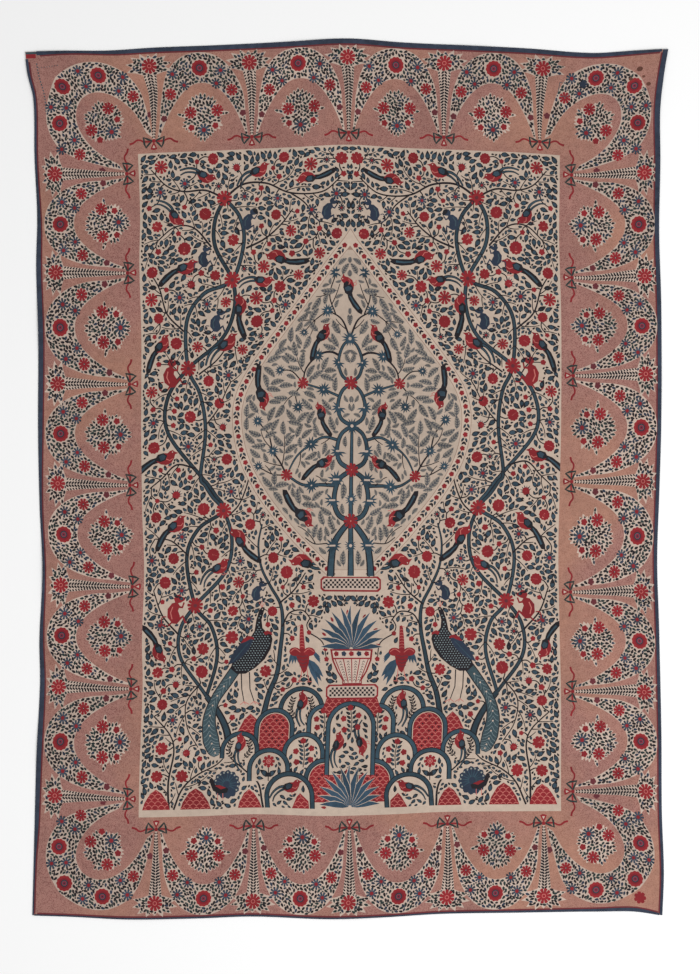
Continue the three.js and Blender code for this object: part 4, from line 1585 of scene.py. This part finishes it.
def dyed_cotton(name, uneven, edge, *rings):
    """Plain-woven cotton in one dye, with slubs, uneven dyeing, fading and a fine weave."""
    material = bpy.data.materials.new("cotton_" + name)
    material.use_nodes = True
    tree = material.node_tree
    add, subtract, multiply = (partial(math_node, tree, kind) for kind in ("ADD", "SUBTRACT", "MULTIPLY"))
    shader = tree.nodes["Principled BSDF"]
    coordinates = add_node(tree, "ShaderNodeTexCoord").outputs["Object"]
    heart = add_node(tree, "ShaderNodeAttribute", attribute_name="heart").outputs["Fac"]
    ramp = add_node(tree, "ShaderNodeValToRGB")
    bands = ramp.color_ramp
    bands.interpolation = "CONSTANT"
    while len(bands.elements) > 1:
        bands.elements.remove(bands.elements[-1])
    bands.elements[0].position = 0
    bands.elements[0].color = linear(*edge)
    for place, colour in rings:
        bands.elements.new(place).color = linear(*colour)
    link(tree, heart, ramp.inputs[0])
    colour = ramp.outputs["Color"]
    if name == "pink":
        speck = multiply(subtract(noise(tree, coordinates, GRAIN_SCALE, 1.0), 0.5), 7.0, clamp=True)
        colour = mix_colour(tree, "MIX", multiply(speck, 0.8), colour, linear(*PINK_DOTS))
        tinge = multiply(subtract(noise(tree, coordinates, WARM_SCALE, 2.0), 0.46), 6.0, clamp=True)
        colour = mix_colour(tree, "MIX", multiply(tinge, 0.4), colour, linear(*PINK_WARM))
    patches = noise(tree, coordinates, PATCH_SCALE, 4.0)
    blotches = noise(tree, coordinates, BLOTCH_SCALE, 3.0)
    slubs = noise(tree, coordinates, BLOTCH_SCALE, 2.0, (1.0, SLUB_STRETCH, 1.0))
    threads = noise(tree, coordinates, BLOTCH_SCALE, 2.0, (SLUB_STRETCH, 1.0, 1.0))
    tone = add_node(tree, "ShaderNodeAttribute", attribute_name="tone").outputs["Fac"]
    total = add(add(patches, blotches), add(slubs, threads))
    total = add(total, multiply(subtract(tone, 0.5), 0.6))
    light = add(multiply(subtract(total, 2.0), uneven * 2.4), 1.0)
    link(tree, mix_colour(tree, "MULTIPLY", 1.0, colour, light), shader.inputs["Base Color"])
    link(tree, add(multiply(blotches, 0.12), 0.82), shader.inputs["Roughness"])
    shader.inputs["Specular IOR Level"].default_value = 0.25
    bump = add_node(tree, "ShaderNodeBump")
    bump.inputs["Strength"].default_value = 0.35
    bump.inputs["Distance"].default_value = 0.15 * MM
    height = add(weave_height(tree, coordinates, THREAD), multiply(add(slubs, threads), 1.5))
    link(tree, height, bump.inputs["Height"])
    link(tree, bump.outputs["Normal"], shader.inputs["Normal"])
    return material


# The cloth's mesh

MERGE = 0.02  # points closer than this become one
EDGE_POINT_STEP = 20.0
GRID = 45.0  # between the loose points that let the cloth follow its swells
FIELD_CUT = -420.0  # the field is two meshes, to keep each small


def edge_line(start, end):
    """Points from one corner of a rectangle to the next, without the last."""
    start, end = np.array(start, float), np.array(end, float)
    count = max(int(np.linalg.norm(end - start) / EDGE_POINT_STEP), 1)
    return start + (end - start) * (np.arange(count) / count)[:, None]


def rectangle(left, right, bottom, top):
    corners = box(left, right, bottom, top)
    return np.vstack([edge_line(a, b) for a, b in zip(corners, corners[1:] + corners[:1])])


def grid_points(step):
    """Evenly spaced points all over the design plane."""
    xs = np.arange(-HALF_WIDE + step / 2, HALF_WIDE, step)
    ys = np.arange(-HALF_LONG + step / 2, HALF_LONG, step)
    return np.array([(x, y) for x in xs for y in ys])


def spare_points(taken):
    """Grid points where the painting leaves wide room, so that the cloth can follow its swells."""
    cell = GRID / 3
    size = np.array([int(DESIGN_WIDE / cell) + 3, int(DESIGN_LONG / cell) + 3])

    def cells(points):
        return tuple(((points + (HALF_WIDE, HALF_LONG)) / cell).astype(int).clip(0, size - 1).T)

    busy = np.zeros(size, bool)
    busy[cells(taken)] = True
    near = busy.copy()
    near[1:] |= busy[:-1]
    near[:-1] |= busy[1:]
    near[:, 1:] |= near[:, :-1].copy()
    near[:, :-1] |= near[:, 1:].copy()
    grid = grid_points(GRID)
    return grid[~near[cells(grid)]]


def cut(flat, edges, merge):
    """Constrained triangulation of points: new points, faces, and each given point's new index."""
    verts, _, faces, origin, _, _ = delaunay_2d_cdt([Vector(p) for p in flat], edges, [], 0, merge, True)
    new_index = np.full(len(flat), -1)
    for new, old in enumerate(origin):
        new_index[list(old)] = new
    return np.array([(v.x, v.y) for v in verts]), faces, new_index


def triangulate(loops, loose):
    """Triangles between closed loops and loose points: points, triangles, and new indices."""
    edges, start = [], 0
    for loop in loops:
        count = len(loop)
        edges += [(start + k, start + (k + 1) % count) for k in range(count)]
        start += count
    points, faces, new_index = cut(np.vstack(loops + [loose]), edges, MERGE)
    triangles = np.array([f for f in faces if len(f) == 3])
    a, b, c = (points[triangles[:, k]] for k in range(3))
    area = (b[:, 0] - a[:, 0]) * (c[:, 1] - a[:, 1]) - (b[:, 1] - a[:, 1]) * (c[:, 0] - a[:, 0])
    triangles[area < 0] = triangles[area < 0][:, ::-1]
    return points, triangles[np.abs(area) > 1e-6], new_index


def top_of_cloth():
    """The painted face, cut by all outlines: points, triangles, and each triangle's shape."""
    loops = [rectangle(-HALF_WIDE, HALF_WIDE, -HALF_LONG, HALF_LONG),
             rectangle(FIELD_LEFT, FIELD_RIGHT, FIELD_CUT, FIELD_TOP),
             rectangle(FIELD_LEFT, FIELD_RIGHT, FIELD_BOTTOM, FIELD_CUT)] + art.outlines
    hearts = np.array([h for h in art.hearts if h is not None]).reshape(-1, 2)
    spare = spare_points(np.vstack(loops + [hearts]))
    points, triangles, new_index = triangulate(loops, np.vstack([hearts, spare]))
    middles = points[triangles].mean(1)
    keep = (np.abs(middles[:, 0]) < HALF_WIDE) & (np.abs(middles[:, 1]) < HALF_LONG)
    triangles, middles = triangles[keep], middles[keep]
    order = np.argsort(middles[:, 0])
    triangles, middles = triangles[order], middles[order]
    owner = np.full(len(triangles), -1)
    field_rows = in_field(middles, 0.0)
    for k, outline in enumerate(art.outlines):
        low, high = outline.min(0), outline.max(0)
        first, last = np.searchsorted(middles[:, 0], (low[0], high[0]))
        rows = first + np.flatnonzero((middles[first:last, 1] > low[1]) & (middles[first:last, 1] < high[1]))
        rows = rows[field_rows[rows] == art.zones[k]]
        owner[rows[inside(outline, middles[rows])]] = k
    heart_start = sum(len(loop) for loop in loops)
    heart_owner = [k for k, h in enumerate(art.hearts) if h is not None]
    heart_vertex = np.full(len(art.outlines), -2)
    heart_vertex[heart_owner] = new_index[heart_start:heart_start + len(heart_owner)]
    return points, triangles, middles, owner, heart_vertex


def loop_edges(triangles):
    """The directed edges of triangles that only one triangle has."""
    edges = np.concatenate([triangles[:, [0, 1]], triangles[:, [1, 2]], triangles[:, [2, 0]]])
    size = int(edges.max()) + 1
    there = edges[:, 0].astype(np.int64) * size + edges[:, 1]
    back = edges[:, 1].astype(np.int64) * size + edges[:, 0]
    return edges[~np.isin(there, back)]


def lie_normals(flat):
    """The cloth's normal at design points, from how it is laid there."""
    step = 2.0
    across = lay(flat + (step, 0)) - lay(flat - (step, 0))
    up = lay(flat + (0, step)) - lay(flat - (0, step))
    normal = np.cross(across, up)
    return normal / np.linalg.norm(normal, axis=1, keepdims=True)


def set_normals(mesh, above, below, wall_corners):
    """True normals for the face and the underside, which thin triangles would spoil, and flat walls."""
    way = wall_corners[:, 1] - wall_corners[:, 0]
    outward = np.column_stack([-way[:, 1], way[:, 0], 0 * way[:, 0]])
    outward /= np.maximum(np.linalg.norm(outward, axis=1, keepdims=True), 1e-9)
    normals = np.vstack([lie_normals(above), -lie_normals(below), np.repeat(outward, 4, axis=0)])
    mesh.normals_split_custom_set(normals.tolist())


# Where baked textures put each side: shares of the map's width
BAKE_FACE, BAKE_UNDER = (0.0, 0.735), (0.745, 0.995)
BAKE_WALLS = {"outer": (0.7365, 0.7395), "inner": (0.7405, 0.7435)}


def spread_for_baking(mesh, above, below, walls, flat):
    """A map for baked textures: the face, the underside and the walls side by side."""
    low, high = above.min(0), above.max(0)
    parts = []
    for points, (left, right) in ((above, BAKE_FACE), (below, BAKE_UNDER)):
        share = (points - low) / (high - low)
        if left > 0:
            share[:, 0] = 1 - share[:, 0]
        parts.append(np.column_stack([left + share[:, 0] * (right - left), share[:, 1]]))
    middle = (low + high) / 2
    places = flat[walls[:, :2]] - middle
    round_it = np.arctan2(places[..., 1], places[..., 0]) / (2 * math.pi) + 0.5
    first, second = round_it[:, 0], round_it[:, 1]
    jump = np.abs(first - second) > 0.5
    second = np.where(jump, np.where(first > 0.5, 1.0, 0.0), second)
    second = np.where(np.abs(first - second) < 1e-6, first + np.where(first > 0.5, -1e-4, 1e-4), second)
    half = (high - low) / 2
    outer = (np.abs(places[:, 0]) > half - 1.0).any(1)
    left = np.where(outer, BAKE_WALLS["outer"][0], BAKE_WALLS["inner"][0])
    right = np.where(outer, BAKE_WALLS["outer"][1], BAKE_WALLS["inner"][1])
    corners = np.stack([np.column_stack([left, first]), np.column_stack([left, second]),
                        np.column_stack([right, second]), np.column_stack([right, first])], axis=1)
    parts.append(corners.reshape(-1, 2))
    layer = mesh.uv_layers.new(name="OFBake")
    layer.data.foreach_set("uv", np.vstack(parts).clip(0, 1).ravel().astype(np.float32))


def cloth_piece(name, points, triangles, dye_rows, heart, tone, in_zone, materials):
    """A closed sheet: the painted face, a plain underside and thin walls round its edges."""
    used, triangles = np.unique(triangles, return_inverse=True)
    triangles = triangles.reshape(-1, 3)
    flat = points[used]
    rim = loop_edges(triangles)
    rim_points = np.unique(rim)
    rim_row = np.full(len(flat), -1)
    rim_row[rim_points] = np.arange(len(rim_points))
    grid = grid_points(2 * GRID)
    grid = grid[in_zone(grid, 15.0)]
    under, faces, under_row = cut(np.vstack([flat[rim_points], grid]),
                                  [tuple(map(int, e)) for e in rim_row[rim]], 1e-4)
    under_faces = np.array([f[::-1] for f in faces])
    under_faces = under_faces[in_zone(under[under_faces].mean(1), 0.0)]
    start = len(flat)
    below = start + under_row[rim_row[rim]]
    walls = np.column_stack([rim[:, 1], rim[:, 0], below[:, 0], below[:, 1]])
    all_points = np.vstack([lay(flat, CLOTH_THICK), lay(under)])
    polygons = np.concatenate([triangles.ravel(), (under_faces + start).ravel(), walls.ravel()])
    sizes = np.concatenate([np.full(len(triangles), 3), np.full(len(under_faces), 3), np.full(len(walls), 4)])
    mesh = bpy.data.meshes.new(name)
    mesh.vertices.add(len(all_points))
    mesh.vertices.foreach_set("co", all_points.ravel())
    mesh.loops.add(len(polygons))
    mesh.loops.foreach_set("vertex_index", polygons.astype(np.int32))
    mesh.polygons.add(len(sizes))
    mesh.polygons.foreach_set("loop_start", np.concatenate([[0], np.cumsum(sizes)[:-1]]).astype(np.int32))
    for material in materials:
        mesh.materials.append(material)
    plain = len(under_faces) + len(walls)
    dye_rows = np.concatenate([dye_rows, np.full(plain, DYE_NAMES.index("back"))])
    mesh.polygons.foreach_set("material_index", dye_rows.astype(np.int32))
    smooth = np.zeros(len(sizes), bool)
    smooth[:len(triangles)] = True
    mesh.polygons.foreach_set("use_smooth", smooth)
    mesh.update(calc_edges=True)
    rest = len(polygons) - 3 * len(triangles)
    for key, values in (("heart", heart.ravel()), ("tone", np.repeat(tone, 3))):
        layer = mesh.attributes.new(key, "FLOAT", "CORNER")
        layer.data.foreach_set("value", np.concatenate([values, np.full(rest, 0.5)]).astype(np.float32))
    above, below_flat = flat[triangles].reshape(-1, 2), under[under_faces].reshape(-1, 2)
    spread_for_baking(mesh, above, below_flat, walls, np.vstack([flat, under]))
    set_normals(mesh, above, below_flat, all_points[walls])
    piece = bpy.data.objects.new(name, mesh)
    bpy.context.scene.collection.objects.link(piece)
    return piece


def in_field(points, margin):
    return ((points[:, 0] > FIELD_LEFT + margin) & (points[:, 0] < FIELD_RIGHT - margin)
            & (points[:, 1] > FIELD_BOTTOM + margin) & (points[:, 1] < FIELD_TOP - margin))


def in_upper(points, margin):
    return in_field(points, margin) & (points[:, 1] > FIELD_CUT + margin)


def in_lower(points, margin):
    return in_field(points, margin) & (points[:, 1] < FIELD_CUT - margin)


def in_border(points, margin):
    return ((np.abs(points[:, 0]) < HALF_WIDE - margin) & (np.abs(points[:, 1]) < HALF_LONG - margin)
            & ~in_field(points, -margin))


def cloth():
    points, triangles, middles, owner, heart_vertex = top_of_cloth()
    dye_of_shape = np.array([DYE_NAMES.index(d) for d in art.dyes] + [0])
    tone_of_shape = np.array(art.tones + [0.5])
    field_rows = in_field(middles, 0.0)
    dye_rows = np.where(owner >= 0, dye_of_shape[owner],
                        np.where(field_rows, DYE_NAMES.index("ground"), DYE_NAMES.index("pink")))
    tone = tone_of_shape[owner]
    own_heart = np.where(owner >= 0, heart_vertex[owner], -2)
    heart = (triangles == own_heart[:, None]).astype(float)
    materials = [dyed_cotton(name, *row) for name, row in DYES.items()]
    pieces = {}
    for name, zone in (("cloth_border", in_border), ("cloth_upper", in_upper), ("cloth_lower", in_lower)):
        rows = zone(middles, 0.0)
        pieces[name] = cloth_piece(name, points, triangles[rows], dye_rows[rows], heart[rows], tone[rows],
                                   zone, materials)
    return pieces


pieces = cloth()
for piece in pieces.values():
    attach(piece, "root")
    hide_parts("cloth")


# The blue strips: folded over the edges, puckered a little along the row of stitches

STATION_STEP = 18.0
PUCKER = 0.22
FOLD_TURNS = np.radians([-90, -60, -30, 0, 30, 60, 90])


def strip_section(wide, pucker):
    """Rows of (inwards from the edge, up from the cloth's underside), round the strip's section."""
    middle = CLOTH_THICK / 2
    reach = middle + GAP + BINDING_THICK
    low, high = middle - reach, middle + reach
    rows = [(wide, low), (wide * 0.5, low)]
    rows += [(-reach * math.cos(turn), middle + reach * math.sin(turn)) for turn in FOLD_TURNS]
    rows += [(wide * 0.3, high + pucker), (wide * 0.7, high + pucker * 0.8), (wide - 1.5, high - 0.25),
             (wide, high - 0.35)]
    rows += [(wide, CLOTH_THICK + GAP), (-GAP, CLOTH_THICK + GAP), (-GAP, -GAP), (wide, -GAP)]
    return np.array(rows)


def strip_edge(name, t):
    """The cloth's edge at the places t of a side, and the same points moved in to the rim line."""
    rim_u, rim_v, zero, one = RIM / WIDTH, RIM / LENGTH, 0 * t, 0 * t + 1
    return {
        "top": (underside(t, zero), underside(t, zero + rim_v)),
        "bottom": (underside(t, one), underside(t, one - rim_v)),
        "left": (underside(zero, t), underside(zero + rim_u, t)),
        "right": (underside(one, t), underside(one - rim_u, t)),
    }[name]


def strip(name, material):
    row = BINDINGS[name]
    length = WIDTH if name in ("top", "bottom") else LENGTH
    start, end = row["from"] / length, 1 - row["to"] / length
    t = np.linspace(start, end, int((end - start) * length / STATION_STEP) + 1)
    edge, inner = strip_edge(name, t)
    inward = (inner - edge) * (1, 1, 0)
    inward /= np.linalg.norm(inward, axis=1, keepdims=True)
    wide = smooth_table(row["face"], t)
    puckers = PUCKER * (0.6 + 0.4 * np.sin(t * length / 9.0) + rng.uniform(-0.3, 0.3, len(t)))
    sections = [strip_section(w, p) for w, p in zip(wide, puckers)]
    sides = len(sections[0])
    points = np.vstack([edge[k] + inward[k] * rows[:, :1] + rows[:, 1:] * (0, 0, 1)
                        for k, rows in enumerate(sections)])
    faces = []
    for k in range(len(t) - 1):
        for side in range(sides):
            a, b = k * sides + side, k * sides + (side + 1) % sides
            faces.append((a, b, b + sides, a + sides))
    last = (len(t) - 1) * sides
    legs = sides - 4
    rounds = [(k, k + 1) for k in range(legs - 1)]
    caps = [(legs - 1, legs, legs + 1), (0, legs + 2, legs + 3)]
    half = legs // 2
    caps += [(a, b, legs + 1 if a >= half else legs + 2) for a, b in rounds]
    caps += [(half, legs + 1, legs + 2)]
    faces += [tuple(cap) for cap in caps] + [tuple(last + k for k in cap[::-1]) for cap in caps]
    mesh = bpy.data.meshes.new("binding_strip_" + name)
    mesh.from_pydata((points * MM).tolist(), [], faces)
    mesh.materials.append(material)
    mesh.validate()
    builder = bmesh.new()
    builder.from_mesh(mesh)
    bmesh.ops.recalc_face_normals(builder, faces=builder.faces)
    builder.to_mesh(mesh)
    builder.free()
    mesh.polygons.foreach_set("use_smooth", np.ones(len(mesh.polygons), bool))
    mesh.set_sharp_from_angle(angle=math.radians(50))
    piece = bpy.data.objects.new(mesh.name, mesh)
    bpy.context.scene.collection.objects.link(piece)
    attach(piece, "root")
    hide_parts("binding_" + name)


blue_cotton = dyed_cotton("blue_cotton", 0.3, (52, 60, 76))
for side_name in BINDINGS:
    strip(side_name, blue_cotton)


# Floor, light and camera

def floor():
    mesh = bpy.data.meshes.new("floor")
    reach, level = 30.0, -0.2 * MM
    corners = [(x, y, level) for x, y in box(-reach, reach, -reach, reach)]
    mesh.from_pydata(corners, [], [(0, 1, 2, 3)])
    piece = bpy.data.objects.new("floor", mesh)
    bpy.context.scene.collection.objects.link(piece)
    material = bpy.data.materials.new("pale_floor")
    material.use_nodes = True
    shader = material.node_tree.nodes["Principled BSDF"]
    shader.inputs["Base Color"].default_value = (0.875, 0.875, 0.875, 1)
    shader.inputs["Roughness"].default_value = 0.9
    shader.inputs["Specular IOR Level"].default_value = 0.1
    mesh.materials.append(material)


SKY_LIGHT = 0.745
LAMP_POWER, LAMP_SIZE = 315.0, 5.0
LAMP_PLACE = (4.0, -2.0, 6.0)


def lights():
    world = bpy.data.worlds.new("studio")
    bpy.context.scene.world = world
    world.use_nodes = True
    world.node_tree.nodes["Background"].inputs["Color"].default_value = (1, 1, 1, 1)
    world.node_tree.nodes["Background"].inputs["Strength"].default_value = SKY_LIGHT
    lamp = bpy.data.lights.new("soft_lamp", "AREA")
    lamp.energy, lamp.size = LAMP_POWER, LAMP_SIZE
    rig = bpy.data.objects.new("soft_lamp", lamp)
    rig.location = LAMP_PLACE
    rig.rotation_euler = (Vector((0, 0, 0)) - rig.location).to_track_quat("-Z", "Y").to_euler()
    bpy.context.scene.collection.objects.link(rig)


FRAME_LONG_PX = 974
MM_PER_PX = 4.1
CAMERA_HEIGHT = 14.0
CAMERA_X, CAMERA_Y = 0.0133, -0.0328  # above the middle of the photograph


def camera():
    lens = bpy.data.cameras.new("camera")
    lens.sensor_width = 36
    lens.lens = 36 * CAMERA_HEIGHT / (FRAME_LONG_PX * MM_PER_PX * MM)
    lens.clip_end = 200
    rig = bpy.data.objects.new("camera", lens)
    rig.location = (CAMERA_X, CAMERA_Y, CAMERA_HEIGHT)
    bpy.context.scene.collection.objects.link(rig)
    bpy.context.scene.camera = rig


floor()
lights()
camera()
bpy.context.scene.view_settings.view_transform = "Standard"
